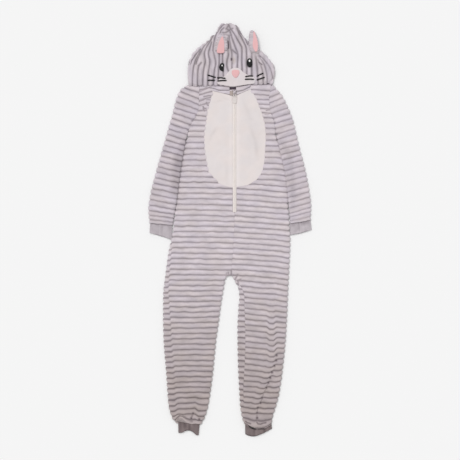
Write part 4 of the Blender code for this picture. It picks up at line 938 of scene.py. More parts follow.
def neck_strip(name, corner, dips, toward_side, seed):
    """The strip of plush between the bib's top edge and the neckline."""
    corner_x, corner_y = corner
    zip_end = ZIP_X + toward_side * (ZIP_WIDTH / 2 + 0.0001)
    x = np.linspace(corner_x + toward_side * 0.004, zip_end, 60)[:, None]
    near_zip = np.clip(1 - np.abs(x - ZIP_X) / abs(corner_x - ZIP_X), 0, 1)
    share = np.concatenate([[0, 0.02, 0.05, 0.10], np.linspace(0.15, 0.9, 18), [0.96, 1.0]])
    y = mix(corner_y - dips[0] * near_zip, NECK_Y - dips[1] * near_zip, share)
    full = (1 - np.abs(1 - np.clip(share / 0.16, 0, 1)) ** 2.4) ** 0.5
    full = full * (0.55 + 0.45 * ease((1 - share) / 0.25))
    swell = full * (1 + 0.10 * unevenness(x, y, 0.012, seed))
    at_zip = 0.5 + 0.5 * rounded(np.abs(x - x[-1]) / 0.002)
    z = MIDDLE + (GROUND + 0.0034 + (PILE - 0.0038) * swell) * at_zip
    top = places(x, y + 0.0005 * unevenness(x, y, 0.02, seed + 2), z)
    # faint painted shade along the strip's edge at the bib
    shade = np.append(bell(share, 0.06) * 0.05, [0, 0, 0])
    return cloth(name, np.concatenate([top, lining(top, [-1, 12, 0], MIDDLE + LAYER_GAP)], axis=1), shade)


def fleece(name, colour, speckle=0.07, roughness=0.95, sheen=0.2):
    """Short smooth fleece: a faint mottle, a fine nap, patches where it is brushed another way, and the
    painted shade or light that a piece's groove values give.
    """
    values = {"Roughness": roughness, "Sheen Weight": sheen, "Specular IOR Level": 0.15}
    made, tree = new_material(name, values)
    values = {"Colour": colour, "Fibres": 900.0, "Clumps": 28.0, "Speckle": speckle, "Mottle": 0.10}
    pile = node(tree, "ShaderNodeGroup", values, node_tree=PILE_GROUP).outputs
    patches = spread(tree, noise(tree, object_place(tree), 22.0, 1.5), (0.38, 0.62))
    tint = between(tree, patches, (0.985, 0.992, 1.00, 1), (1.01, 0.997, 0.988, 1))
    # painted shade where the groove values are above 0, painted light where they are below
    crease = spread(tree, attribute(tree, "groove", "Fac"), (-1.0, 1.0), (1.12, 0.88))
    finish(tree, times(tree, times(tree, pile["Colour"], tint), crease), pile["Height"], 0.35, 0.0006)
    return made


bib_fleece = fleece("bib_fleece", srgb_colour(227, 219, 218))
for name, table, toward, dip, seed in (
    ("bib_right", BIB_RIGHT, -1, 0.0150, 51), ("bib_left", BIB_LEFT, 1, 0.0200, 52),
):
    piece = bib_half(name + "_fleece", table, toward, dip, seed)
    dress(piece, bib_fleece, name)
for name, corner, dips, toward, seed in (
    ("neck_strip_right", (-0.0535, 0.4439), (0.0147, 0.0225), -1, 53),
    ("neck_strip_left", (0.0640, 0.4490), (0.0197, 0.0235), 1, 54),
):
    piece = neck_strip(name, corner, dips, toward, seed)
    dress(piece, body_plush)


# ---- Zip -------------------------------------------------------------------------------------------
# A closed coil zip on two woven tapes: nylon coils that mesh down the middle, sewn to the cloth on
# both sides and tapered into the front below the bib.

TAPE_TOP = 0.0080
TOOTH = 0.0026  # from one tooth of a side to the next
COIL_MIDDLE = 0.0088
COIL_CORNERS = 8
# along each tooth from its root, and its thickness as a share
TOOTH_RINGS = ((-0.15, 0.6), (0.25, 1.0), (0.75, 1.0), (1.0, 0.7))
# across the tapes from edge to edge, and how high they stand there
TAPE_SPOTS = np.array([-1, -0.96, -0.55, -0.42, -0.40, -0.02, 0.02, 0.40, 0.42, 0.55, 0.96, 1])
TAPE_RISE = ((0, 0.02, 0.40, 0.42, 0.55, 0.96, 1), (0.0, 0.0004, 0.0005, 0.0003, 0.0002, 0.0001, -0.0008))

y = np.append(np.linspace(0.441, 0.066, 90), [0.0600, 0.0575, 0.0560])[:, None]
taper = np.interp(y, (0.0558, 0.0575, 0.0600), (0.55, 0.9, 1.0))
x = ZIP_X + TAPE_SPOTS * taper * (ZIP_WIDTH / 2 - 0.0001)
tape = places(x, y, TAPE_TOP + np.interp(np.abs(TAPE_SPOTS), *TAPE_RISE))
below = lining(tape, slice(None, None, -4), MIDDLE + LAYER_GAP)
zip_tapes = cloth("zip_tapes", np.concatenate([tape, below], axis=1))

coil_points, coil_faces = [], []
for y in np.arange(0.4270, 0.0600, -TOOTH):
    for side in (-1, 1):
        middle_y = y - (TOOTH / 2 if side > 0 else 0)
        for face in wall_faces(len(TOOTH_RINGS), COIL_CORNERS):
            turned = face if side > 0 else face[:1] + face[:0:-1]
            coil_faces.append([len(coil_points) + corner for corner in turned])
        for along, thick in TOOTH_RINGS:
            x = ZIP_X + side * (along * 0.0024 - 0.0002)
            for t in once_round(COIL_CORNERS):
                high = COIL_MIDDLE + 0.0006 * thick * np.sin(t)
                coil_points.append((x, middle_y + 0.00055 * thick * np.cos(t), high))
zip_coil = new_piece("zip_coil", coil_points, coil_faces)


def woven_tape(name, colour, thread):
    """Fine plain-woven tape: thin threads both ways in a slightly uneven dye."""
    made, tree = new_material(name, {"Roughness": 0.8, "Specular IOR Level": 0.25})
    place = object_place(tree)
    weave = {"Vector": place, "Scale": 1 / thread / 6.2832, "Distortion": 0.6}
    warp, weft = (node(tree, "ShaderNodeTexWave", weave, bands_direction=way).outputs["Fac"] for way in "XY")
    cross = maths(tree, "MULTIPLY", warp, weft)
    values = {"Colour": colour, "Fibres": 1500.0, "Clumps": 60.0, "Speckle": 0.06, "Mottle": 0.08}
    pile = node(tree, "ShaderNodeGroup", values, node_tree=PILE_GROUP).outputs
    shown = times(tree, pile["Colour"], spread(tree, cross, (0.0, 1.0), (0.90, 1.03)))
    finish(tree, shown, cross, 0.3, 0.0003)
    return made


cream_tape = woven_tape("cream_tape", srgb_colour(239, 231, 227), 0.0009)
nylon = fleece("nylon_coil", srgb_colour(247, 239, 235), 0.02, roughness=0.4, sheen=0.0)
dress(zip_tapes, cream_tape, "zip_tape")
dress(zip_coil, nylon)

# the right tape's upper end, turned out over the neck strip and stitched down
down = np.linspace(0, 1, 30)[:, None]
turn = once_round(44)
half = 0.0048 * (1 - 0.12 * ((1 - ease(down / 0.06)) + (1 - ease((1 - down) / 0.06))))
y = mix(0.4472, 0.4300, down)
z = 0.0107 - 0.0034 * ease((y - 0.4430) / 0.004) + 0.0004 * squared(np.sin(turn), 0.4)
tape_end = cloth("zip_tape_end", places(0.0040 + half * squared(np.cos(turn), 0.4), y, z))
dress(tape_end, woven_tape("tan_tape", srgb_colour(182, 168, 162), 0.0008))


# ---- Slider and pull -------------------------------------------------------------------------------
# The slider is a small enamelled shield with a bridge, and it holds a folded fabric pull that
# swings on the bridge.

# x from the zip's middle, y
SHIELD = (
    (-0.0030, 0.4302), (0.0030, 0.4302), (0.0042, 0.4330), (0.0042, 0.4400), (0.0030, 0.4438),
    (0.0012, 0.4440), (0.0, 0.4425), (-0.0012, 0.4440), (-0.0030, 0.4438), (-0.0042, 0.4400),
    (-0.0042, 0.4330),
)
SHIELD_BOTTOM, SHIELD_TOP = 0.0101, 0.0131
# y, z along the bridge
BRIDGE = (
    (0.4312, 0.0126), (0.4311, 0.0146), (0.4318, 0.0162), (0.4350, 0.0167), (0.4388, 0.0164),
    (0.4399, 0.0146), (0.4399, 0.0126),
)
SHIELD_WAIST_Y = 0.4365
PULL_AXIS = np.array([ZIP_X, 0.4345, 0.0143])
LOOP_END_Y = -0.0056
# y from the swing's axis, half width, height of the middle above the axis
PULL = (
    (0.0007, 0.0034, 0.0), (0.0, 0.0037, 0.0002), (-0.0008, 0.0038, 0.0), (-0.0055, 0.0045, 0.0),
    (-0.0075, 0.0060, -0.0006), (-0.0110, 0.0065, -0.0032), (-0.0240, 0.0065, -0.0035),
    (-0.0280, 0.0055, -0.0035), (-0.0295, 0.0035, -0.0035),
)
# x, y and z along one side of the loop, up to its middle, from the swing's axis
HALF_LOOP = ((0.0030, -0.0062, 0.0), (0.0029, -0.0030, 0.0001), (0.0026, 0.0, 0.0001), (0.0022, 0.0005, 0.0))


def round_line(line, count, wide, thick):
    """Points that go round a line, out along wide and up along thick."""
    turn = once_round(count)[:, None]
    return line[:, None] + wide[:, None] * np.cos(turn) + thick[:, None] * np.sin(turn)


points = [(ZIP_X + x, y, z) for z in (SHIELD_BOTTOM, SHIELD_TOP) for x, y in SHIELD]
slider_plate = new_piece("slider_plate", points, wall_faces(2, len(SHIELD)))
rounding = slider_plate.modifiers.new("rounding", "BEVEL")
rounding.width, rounding.segments, rounding.limit_method = 0.0006, 3, "ANGLE"

steps = np.linspace(0, len(BRIDGE) - 1, 30)
y, z = (line(steps) for line in smooth_columns(BRIDGE, range(len(BRIDGE))))
run = unit(np.stack([np.gradient(y), np.gradient(z)], axis=-1))
wide = places(np.full(len(steps), 0.0012), 0, 0)
thick = places(0, -run[:, 1], run[:, 0]) * 0.0005
slider_bridge = cloth("slider_bridge", round_line(places(ZIP_X, y, z), 12, wide, thick))

# enamel with painted shade, darker towards the wearer's left, and a painted shadow across the slider's waist
# under the bridge; worn here and there
enamel, tree = new_material("slider_enamel", {"Metallic": 0.3})
shader = tree.nodes["Principled BSDF"]
place = object_place(tree)
across = node(tree, "ShaderNodeSeparateXYZ", {"Vector": place}).outputs
worn = noise(tree, place, 450.0, 3.0)
side_shaded = between(
    tree, spread(tree, across["X"], (ZIP_X - 0.001, ZIP_X + 0.003)), srgb_colour(186, 177, 181), srgb_colour(160, 150, 159)
)
dyes = between(tree, spread(tree, worn, (0.35, 0.65)), side_shaded, srgb_colour(188, 179, 183))
away = maths(tree, "ABSOLUTE", maths(tree, "SUBTRACT", across["Y"], SHIELD_WAIST_Y))
waist_shadow = spread(tree, away, (0.0012, 0.0024), (0.52, 1.0))
tree.links.new(times(tree, dyes, waist_shadow), shader.inputs["Base Color"])
tree.links.new(spread(tree, worn, (0.0, 1.0), (0.28, 0.5)), shader.inputs["Roughness"])
dress(slider_plate, enamel, "zip_slider")
dress(slider_bridge, enamel)

rows = np.linspace(0, 1, 60)[:, None]
y, half, middle = (line(rows) for line in smooth_columns(PULL, np.linspace(0, 1, len(PULL))))
turn = once_round(64)
flat = squared(np.cos(turn), 0.5)
stitches = 0.00012 * (np.abs(np.abs(flat) - 0.80) < 0.05) * (np.sin(y * 2 * np.pi / 0.0022) > -0.2)
z = middle + squared(np.sin(turn), 0.3) * 0.0007 - np.sign(np.sin(turn)) * stitches
below_loop = y[:, 0] < LOOP_END_Y
pull = cloth("pull_fabric", (PULL_AXIS + places(half * flat, y, z))[below_loop], stitches[below_loop] * 5000)

loop = [(-x, y, z) for x, y, z in HALF_LOOP] + [(0.0, 0.0006, 0.0)] + list(HALF_LOOP[::-1])
middle = len(HALF_LOOP)
steps = np.linspace(0, len(loop) - 1, 40)
line = np.stack([np.interp(steps, range(len(loop)), column) for column in zip(*loop)], axis=-1)
run = unit(np.gradient(line, axis=0))
width = np.interp(np.abs(steps - middle), (0, 2, 4), (0.0005, 0.0008, 0.0010))
wide = places(-run[:, 1], run[:, 0], 0) * width[:, None]
thick = places(0, 0, np.full(len(steps), 0.0006))
pull_loop = cloth("pull_loop", round_line(line, 12, wide, thick) + PULL_AXIS)
pull_tape = woven_tape("pull_tape", srgb_colour(226, 218, 215), 0.0008)
dress(pull, pull_tape, "zip_pull", body="pull_tab")
dress(pull_loop, pull_tape, body="pull_tab")


# ---- Neck label ------------------------------------------------------------------------------------
# A plain folded tab of dark tape, sewn in behind the neck, shows in the opening. It carries nothing.

share = np.linspace(0, 1, 26)[:, None]
turn = once_round(40)
x = 0.0080 + 0.0105 * squared(np.cos(turn), 0.4)
y = mix(0.4572, 0.4500, share) + 0.0004 * np.sin(x * 900)
z = 0.0056 + 0.0010 * np.sin(share * np.pi) + 0.0004 * squared(np.sin(turn), 0.4)
label = cloth("neck_label_tape", places(x, y, z))
dress(label, woven_tape("label_tape", srgb_colour(92, 78, 90), 0.0009), "neck_label")


# ---- Hood ------------------------------------------------------------------------------------------
# The hood is two layers of plush with the ribs running up to the crown, pressed flat so that its
# ribs bunch and fold over each other at the top. Its front edge ends in a rolled band.

HOOD_EDGE = 0.006
HOOD_MIDDLE = 0.0108
HOOD_RIBS = 17
SHOULDER_Y = 0.4672  # the hood's lower layers end here, above the body's neckline
GROOVE_REACH = 0.0145  # a groove draws the pile down over half of this on each side
RIM_ROUND = 0.008
RIM_PINCH = 0.014  # how far in from the outline the notches reach
# share of the way round from the low-x end, x, y
HOOD_OUTLINE = (
    (0.00, -0.130, 0.544), (0.10, -0.115, 0.571), (0.20, -0.091, 0.592), (0.30, -0.067, 0.612),
    (0.40, -0.043, 0.640), (0.48, -0.025, 0.660), (0.56, 0.010, 0.661), (0.64, 0.034, 0.638),
    (0.70, 0.047, 0.617), (0.76, 0.064, 0.601), (0.84, 0.096, 0.577), (0.92, 0.122, 0.553),
    (1.00, 0.142, 0.524),
)
HOOD_HEM = (
    (0.00, -0.130, 0.4600), (0.16, -0.086, 0.4565), (0.34, -0.038, 0.4600), (0.50, 0.007, 0.4560),
    (0.68, 0.055, 0.4625), (0.86, 0.103, 0.4640), (1.00, 0.135, 0.4660),
)
# a line of points down each groove of the upper layer
HOOD_GROOVES = (
    ((-0.1199, 0.4525), (-0.1203, 0.4806), (-0.1181, 0.5120), (-0.1131, 0.5333), (-0.1037, 0.5547),
     (-0.0947, 0.5715)),
    ((-0.1284, 0.5300), (-0.1228, 0.5412), (-0.1138, 0.5547), (-0.1037, 0.5670)),
    ((-0.1030, 0.4525), (-0.1037, 0.4806), (-0.1026, 0.5075), (-0.0997, 0.5232), (-0.0920, 0.5333)),
    ((-0.1087, 0.5300), (-0.1037, 0.5457), (-0.0959, 0.5614), (-0.0858, 0.5838), (-0.0734, 0.5996)),
    ((-0.0869, 0.4525), (-0.0869, 0.4851), (-0.0835, 0.5165), (-0.0775, 0.5389), (-0.0808, 0.5524),
     (-0.0819, 0.5670), (-0.0763, 0.5816), (-0.0689, 0.5939), (-0.0611, 0.6085), (-0.0532, 0.6243)),
    ((-0.0709, 0.4525), (-0.0700, 0.4985), (-0.0674, 0.5120), (-0.0631, 0.5389), (-0.0682, 0.5547),
     (-0.0689, 0.5681), (-0.0633, 0.5816), (-0.0588, 0.5996)),
    ((-0.0532, 0.4525), (-0.0521, 0.4851), (-0.0498, 0.5098), (-0.0440, 0.5300), (-0.0494, 0.5547),
     (-0.0543, 0.5737), (-0.0525, 0.5906), (-0.0498, 0.6063), (-0.0442, 0.6287), (-0.0352, 0.6422)),
    ((-0.0375, 0.4525), (-0.0370, 0.4985), (-0.0359, 0.5120), (-0.0339, 0.5345), (-0.0341, 0.5636)),
    ((-0.0209, 0.4525), (-0.0211, 0.4985), (-0.0222, 0.5120), (-0.0238, 0.5345), (-0.0236, 0.5659)),
    ((-0.0049, 0.5075), (-0.0101, 0.5210), (-0.0101, 0.5389), (-0.0045, 0.5569), (-0.0049, 0.5648)),
    ((0.0063, 0.5120), (0.0065, 0.5389), (0.0052, 0.5479), (0.0067, 0.5636), (0.0022, 0.5816),
     (-0.0014, 0.6018), (-0.0027, 0.6175)),
    ((0.0231, 0.5120), (0.0242, 0.5345), (0.0258, 0.5614), (0.0180, 0.5816), (0.0081, 0.6074),
     (0.0052, 0.6175)),
    ((0.0393, 0.4525), (0.0388, 0.5165), (0.0377, 0.5434), (0.0391, 0.5816), (0.0337, 0.5906),
     (0.0224, 0.6108), (0.0130, 0.6265), (0.0067, 0.6355)),
    ((0.0541, 0.4525), (0.0539, 0.5008), (0.0545, 0.5210), (0.0532, 0.5614), (0.0530, 0.5816),
     (0.0433, 0.6018), (0.0343, 0.6198), (0.0287, 0.6310)),
    ((0.0696, 0.4525), (0.0696, 0.5120), (0.0691, 0.5479), (0.0705, 0.5816)),
    ((0.0911, 0.4525), (0.0889, 0.4873), (0.0871, 0.5165), (0.0837, 0.5502), (0.0831, 0.5591)),
    ((0.1062, 0.4525), (0.1062, 0.4806), (0.1051, 0.5030), (0.1006, 0.5210), (0.0934, 0.5333),
     (0.0882, 0.5434)),
    ((0.1199, 0.4525), (0.1192, 0.4896), (0.1158, 0.5075), (0.1095, 0.5277), (0.1006, 0.5434),
     (0.0882, 0.5591)),
    ((0.1378, 0.4783), (0.1347, 0.5008), (0.1257, 0.5232), (0.1122, 0.5401), (0.0983, 0.5547),
     (0.0880, 0.5636)),
    ((0.0568, 0.5928), (0.0501, 0.6108), (0.0422, 0.6243), (0.0377, 0.6310)),
    ((0.0066, 0.6355), (0.0006, 0.6450), (-0.0038, 0.6542), (-0.0057, 0.6597)),
    ((0.0287, 0.6311), (0.0250, 0.6432), (0.0208, 0.6524), (0.0167, 0.6575)),
    ((0.0052, 0.6175), (0.0024, 0.6285), (-0.0016, 0.6367), (-0.0090, 0.6413)),
    ((-0.0352, 0.6423), (-0.0292, 0.6505), (-0.0209, 0.6564)),
    ((-0.0301, 0.6156), (-0.0314, 0.6248), (-0.0292, 0.6367), (-0.0200, 0.6450)),
    ((-0.0237, 0.6300), (-0.0145, 0.6288), (-0.0044, 0.6355), (0.0030, 0.6413), (0.0094, 0.6432)),
    ((0.0618, 0.5954), (0.0581, 0.6074), (0.0443, 0.6211), (0.0351, 0.6312)),
    ((0.0057, 0.5752), (0.0149, 0.5679), (0.0250, 0.5605)),
)
# points along a crease, its half width and its depth as a share of the pile, which also sets its painted
# shade
HOOD_CREASES = (
    (((-0.0056, 0.5800), (-0.0047, 0.5906), (-0.0060, 0.6020)), 0.0040, 0.9),
    (((-0.0058, 0.5690), (-0.0047, 0.5906), (-0.0063, 0.6120)), 0.0030, 0.5),
    (((-0.0128, 0.6411), (-0.0081, 0.6478), (-0.0049, 0.6523)), 0.0025, 0.55),
    (((0.0050, 0.5425), (0.0051, 0.5470)), 0.0034, 1.0),
    (((0.0882, 0.5603), (0.0983, 0.5524)), 0.0026, 0.75),
    (((0.0934, 0.5345), (0.1017, 0.5277)), 0.0026, 0.75),
    (((-0.0550, 0.5726), (-0.0521, 0.5883)), 0.0024, 0.65),
    (((-0.1010, 0.5232), (-0.0925, 0.5329)), 0.0024, 0.6),
    (((-0.0251, 0.6209), (-0.0162, 0.6243), (-0.0027, 0.6198), (0.0063, 0.6220)), 0.0022, 0.45),
    (((-0.1042, 0.4605), (-0.0965, 0.4572), (-0.0885, 0.4610)), 0.0020, 0.7),
    (((-0.0718, 0.4605), (-0.0626, 0.4572), (-0.0549, 0.4610)), 0.0020, 0.7),
)
# where two ribs meet on the outline and leave a notch, and how deep it is
HOOD_NOTCHES = (
    (-0.0292, 0.6505, 0.0045), (-0.0411, 0.6386, 0.0050), (-0.0521, 0.6294, 0.0050),
    (-0.0668, 0.6074, 0.0060), (-0.0806, 0.5982, 0.0045), (-0.0944, 0.5835, 0.0050),
    (-0.1110, 0.5715, 0.0050), (-0.1230, 0.5520, 0.0045), (-0.1300, 0.5340, 0.0035),
    (0.0306, 0.6300, 0.0080), (0.0976, 0.5706, 0.0050), (0.1114, 0.5633, 0.0045),
    (0.1243, 0.5513, 0.0050), (0.1353, 0.5412, 0.0050), (0.1400, 0.5200, 0.0035),
    (0.0100, 0.6608, 0.0030),
)
# x, lower edge y
BANDS = {
    "neck_band_right": (
        (-0.0640, 0.4545), (-0.0520, 0.4515), (-0.0360, 0.4464), (-0.0180, 0.4454), (-0.0011, 0.4454),
    ),
    "neck_band_left": ((0.0194, 0.4425), (0.0376, 0.4445), (0.0558, 0.4528), (0.0660, 0.4590)),
}

hood_out_x, hood_out_y = smooth_columns(HOOD_OUTLINE)
hood_hem_x, hood_hem_y = smooth_columns(HOOD_HEM)


def hood_place(u, v):
    """The place a share u of the way across the hood and v of the way up from its hem to its outline."""
    x = mix(hood_hem_x(u), hood_out_x(u), np.maximum(v, 0) ** 1.5) + 0.0045 * (2 * u - 1) * 4 * v * (1 - v)
    return x, mix(hood_hem_y(u), hood_out_y(u), v)


def softened(line, rounds=2):
    """Cuts a line's corners so that it bends smoothly."""
    points = np.array(line)
    for _ in range(rounds):
        near = mix(points[:-1], points[1:], 0.25)
        far = mix(points[:-1], points[1:], 0.75)
        points = np.concatenate([points[:1], np.stack([near, far], axis=1).reshape(-1, 2), points[-1:]])
    return points


up = np.linspace(0, 1, 10)
HOOD_RIM = np.concatenate([
    np.stack(hood_place(u, v), axis=-1) for u, v in ((0.0, up), (np.linspace(0, 1, 64), 1.0), (1.0, up[::-1]))
])


def carried_to_rim(line):
    """Carries a groove that ends near the hood's outline on over the edge."""
    points = softened(line)
    end = points[-1]
    if from_lines(end[:1], end[1:], [HOOD_RIM])[0] > 0.013:
        return points
    return np.concatenate([points, [end + unit(end - points[-4]) * RIM_PINCH]])


def from_groove(x, y):
    """How far each place is from the nearest groove, and how full the pile is there."""
    gap = from_lines(x, y, [carried_to_rim(line) for line in HOOD_GROOVES])
    return gap, rib_swell(np.minimum(gap / GROOVE_REACH, 0.5))


def hood_layers(x, y):
    """How far a place is from the hood's outline, and the height between its two layers."""
    away = from_lines(x, y, [HOOD_RIM])
    over_shoulder = ease((SHOULDER_Y + 0.02 - y) / 0.02)
    return away, mix(HOOD_EDGE, HOOD_MIDDLE, np.maximum(ease(away / 0.025), over_shoulder))


def pinched_rim(x, y, away, full):
    """Draws the outline in where two ribs meet, in both layers alike."""
    inward = unit(np.stack([0.005 - x, 0.55 - y], axis=-1))
    drawn = scallop(full, 0.0040)
    for notch_x, notch_y, deep in HOOD_NOTCHES:
        drawn = drawn + deep * bell(np.hypot(x - notch_x, y - notch_y), 0.0060)
    drawn = drawn * np.clip(1 - away / RIM_PINCH, 0, 1)
    return x + inward[..., 0] * drawn, y + inward[..., 1] * drawn


def hood_wall(name, face, under, shade, u, seed):
    """Closes a layer of the hood: its pile side is given, and its plain side."""
    along = places(face[..., 1], u * HOOD_RIBS * RIB, seed)
    shade = np.concatenate([shade, np.zeros(under.shape[:2])], axis=1)
    ring, along = (np.concatenate([side, under], axis=1) for side in (face, along))
    return cloth(name, ring, shade, along)


def hood_upper(name, seed):
    u = np.linspace(0, 1, 300)[:, None]
    hem_rows, rim_rows = np.linspace(0, 0.06, 8)[:-1], np.linspace(0.95, 1, 9)[1:]
    v = np.concatenate([hem_rows, np.linspace(0.06, 0.95, 90), rim_rows])
    lifted = 0.0140 * ease((u - 0.925) / 0.06)
    x, y = hood_place(u, mix(lifted / (hood_out_y(u) - hood_hem_y(u)), 1.0, v))
    away, middle = hood_layers(x, y)
    gap, full = from_groove(x, y)
    crease = pressed_in(x, y, HOOD_CREASES)
    full = full * (1 - 0.8 * crease)
    hem = np.clip((y - hood_hem_y(u) - lifted) / 0.010, 0, 1)
    edge_round = mix(ease(hem), rounded(hem), 0.35) * rounded(away / RIM_ROUND)
    swell = 0.0006 * unevenness(x, y, 0.03, seed) + 0.0004 * unevenness(x, y, 0.012, seed + 1)
    lobes = 0.0012 * unevenness(x, y, 0.05, seed + 2) * ease((y - 0.53) / 0.04)
    z = middle + 0.0006 + (GROUND + (PILE + swell + lobes) * full - 0.0006) * edge_round
    x, y = pinched_rim(x, y, away, full)
    y = y + 0.0050 * (1 - full) * (1 - hem)
    # painted shade in each groove and crease, weaker on the hood's lower right
    dim = 1 - 0.30 * ease((x - 0.075) / 0.02) * ease((0.60 - y) / 0.03)
    shade = np.maximum(dim * (0.38 * bell(gap, 0.0024) + 0.19 * bell(gap, 0.0050)), crease)
    top, back = places(x, y, z), slice(None, None, -14)
    return hood_wall(name, top, lining(top, back, middle[:, back] - 0.0002), shade, u, seed)


def hood_under(name, seed):
    u = np.arange(HOOD_RIBS * 16 + 1)[:, None] / (HOOD_RIBS * 16)
    hem_y = hood_hem_y(u)
    start = (SHOULDER_Y - 0.0060 * ease((u - 0.92) / 0.06) - hem_y) / (hood_out_y(u) - hem_y)
    x, y = hood_place(u, mix(start, 1.0, np.append(np.linspace(0, 0.94, 40), np.linspace(0.95, 1, 7))))
    away, middle = hood_layers(x, y)
    rim_round = rounded(away / RIM_ROUND)
    z = 0.0050 * (1 - rim_round) + GROOVE_LIFT * (1 - rib_swell(u * HOOD_RIBS)) * rim_round
    x, y = pinched_rim(x, y, away, from_groove(x, y)[1])
    low, back = places(x, y, z), slice(None, None, -6)
    upper = lining(low, back, np.maximum(middle[:, back] - LAYER_GAP, z[:, back] + 0.0004))
    return hood_wall(name, low, upper, groove_shade(u * HOOD_RIBS) + 0 * x, u, seed)


# the hood's plush: its second colour is the painted shade at the bottom of each groove, and a small
# beige patch above the nose is a little darker and warmer than around it
hood_plush = ribbed_plush("hood_plush", srgb_colour(211, 201, 208), srgb_colour(78, 64, 73), streak=0.22)
tree = hood_plush.node_tree
dye_socket = tree.nodes["Principled BSDF"].inputs["Base Color"]
beige_spot = {0: object_place(tree), 1: (0.0125, 0.5420, 0.018)}
from_beige_spot = node(tree, "ShaderNodeVectorMath", beige_spot, operation="SUBTRACT").outputs[0]
squeezed = times(tree, from_beige_spot, (140.0, 75.0, 0.0))
reach = node(tree, "ShaderNodeVectorMath", {0: squeezed}, operation="LENGTH").outputs["Value"]
beige = between(tree, spread(tree, reach, (0.3, 1.2), (1.0, 0.0)), (1, 1, 1, 1), (0.93, 0.90, 0.81, 1))
tree.links.new(times(tree, dye_socket.links[0].from_socket, beige), dye_socket)
hood_low = hood_under("hood_under_plush", 61)
hood_top = hood_upper("hood_upper_plush", 62)
dress(hood_low, hood_plush, "hood_under")
dress(hood_top, hood_plush, "hood_upper")


def band(name, table, seed):
    """The rolled strip of plush that edges the hood below the face."""
    x = np.linspace(table[0][0], table[-1][0], 70)[:, None]
    hem = smooth_line([(hem_x, hem_y) for _, hem_x, hem_y in HOOD_HEM])
    turn = once_round(36)
    ends = rounded(np.minimum(x - x[0], x[-1] - x) / 0.004, 0.02)
    share = 0.5 + 0.5 * np.cos(turn) * (0.9 + 0.1 * ends)
    y = mix(smooth_line(table)(x), hem(x) - 0.0002, share) + 0.0005 * unevenness(x, turn * 0.003, 0.012, seed)
    z = HOOD_MIDDLE + np.clip(np.sin(turn), 0, 1) ** 0.8 * 0.0042 * ends - 0.0006 * (np.sin(turn) < 0)
    ring = places(x, y, z)
    # painted shade along both rolled edges: patchy at the hem under the muzzle, and at the lower edge, more
    # so towards the ends
    patchy = 0.62 + 0.38 * unevenness(x, 0 * x, 0.010, seed + 2)
    below = 0.42 + 0.25 * ease((np.abs(x - 0.010) - 0.030) / 0.015)
    shade = bell(share, 0.16) * below + bell(1 - share, 0.10) * 0.5 * patchy
    return cloth(name, ring, np.clip(shade, 0, 1))


for seed, (name, table) in enumerate(BANDS.items(), 71):
    piece = band(name + "_plush", table, seed)
    dress(piece, hood_plush, name)


# ---- Face ------------------------------------------------------------------------------------------
# A cream fleece muzzle is sewn to the hood, with a pink padded nose, satin-stitched black eyes with
# a white glint, and whiskers stitched in black cord through muzzle and hood.

HOOD_TOP = 0.0170
MUZZLE_RISE = 0.0022
EYE_TOP = HOOD_TOP + 0.0034
EYE_RISE = 0.0014
WHISKER = 0.0021  # the whisker cord's radius
MUZZLE = (
    (-0.0405, 0.4740), (-0.0380, 0.4650), (-0.0160, 0.4605), (0.0070, 0.4575), (0.0300, 0.4600),
    (0.0550, 0.4640), (0.0785, 0.4680), (0.0810, 0.4810), (0.0740, 0.4905), (0.0570, 0.4955),
    (0.0430, 0.5040), (0.0310, 0.5150), (0.0180, 0.5180), (0.0050, 0.5150), (-0.0060, 0.5040),
    (-0.0170, 0.4915), (-0.0310, 0.4845),
)
NOSE = (
    (0.0178, 0.4850), (0.0245, 0.4890), (0.0295, 0.4975), (0.0300, 0.5060), (0.0260, 0.5100),
    (0.0178, 0.5108), (0.0096, 0.5100), (0.0056, 0.5060), (0.0061, 0.4975), (0.0111, 0.4890),
)
EYE_RIGHT = (
    (-0.0266, 0.5325), (-0.0203, 0.5315), (-0.0184, 0.5248), (-0.0203, 0.5162), (-0.0210, 0.5072),
    (-0.0258, 0.5072), (-0.0322, 0.5107), (-0.0344, 0.5178), (-0.0334, 0.5248), (-0.0309, 0.5302),
)
WHISKERS = (
    ((-0.0722, 0.4947), (-0.0565, 0.4899), (-0.0437, 0.4861)),
    ((-0.0418, 0.4851), (-0.0315, 0.4861), (-0.0130, 0.4832)),
    ((-0.0722, 0.4778), (-0.0590, 0.4778), (-0.0466, 0.4778)),
    ((-0.0405, 0.4746), (-0.0315, 0.4765), (-0.0101, 0.4768)),
    ((0.0478, 0.4886), (0.0600, 0.4918), (0.0757, 0.4909)),
    ((0.0846, 0.4902), (0.0955, 0.4960), (0.1083, 0.5014)),
    ((0.0469, 0.4806), (0.0613, 0.4813), (0.0779, 0.4803)),
    ((0.0843, 0.4784), (0.0971, 0.4826), (0.1122, 0.4880)),
)


def closed_line(points, count=120):
    """A smooth closed line through points, with as many places on each side as on the others."""
    points = np.array(points)
    number = len(points)
    t = np.linspace(0, number, count, endpoint=False)
    i, f = t.astype(int), (t % 1.0)[:, None]
    p0, p1, p2, p3 = (points[(i + k) % number] for k in (-1, 0, 1, 2))
    bend, twist = 2 * p0 - 5 * p1 + 4 * p2 - p3, 3 * p1 - p0 - 3 * p2 + p3
    return 0.5 * (2 * p1 + (p2 - p0) * f + bend * f**2 + twist * f**3)


def oval(x, y, half_x, half_y):
    """An oval with slightly squared corners."""
    turn = once_round(24)
    across, up = squared(np.cos(turn), 0.85), squared(np.sin(turn), 0.85)
    return np.stack([x + half_x * across, y + half_y * up], axis=-1)


def level(height):
    return lambda x, y: height


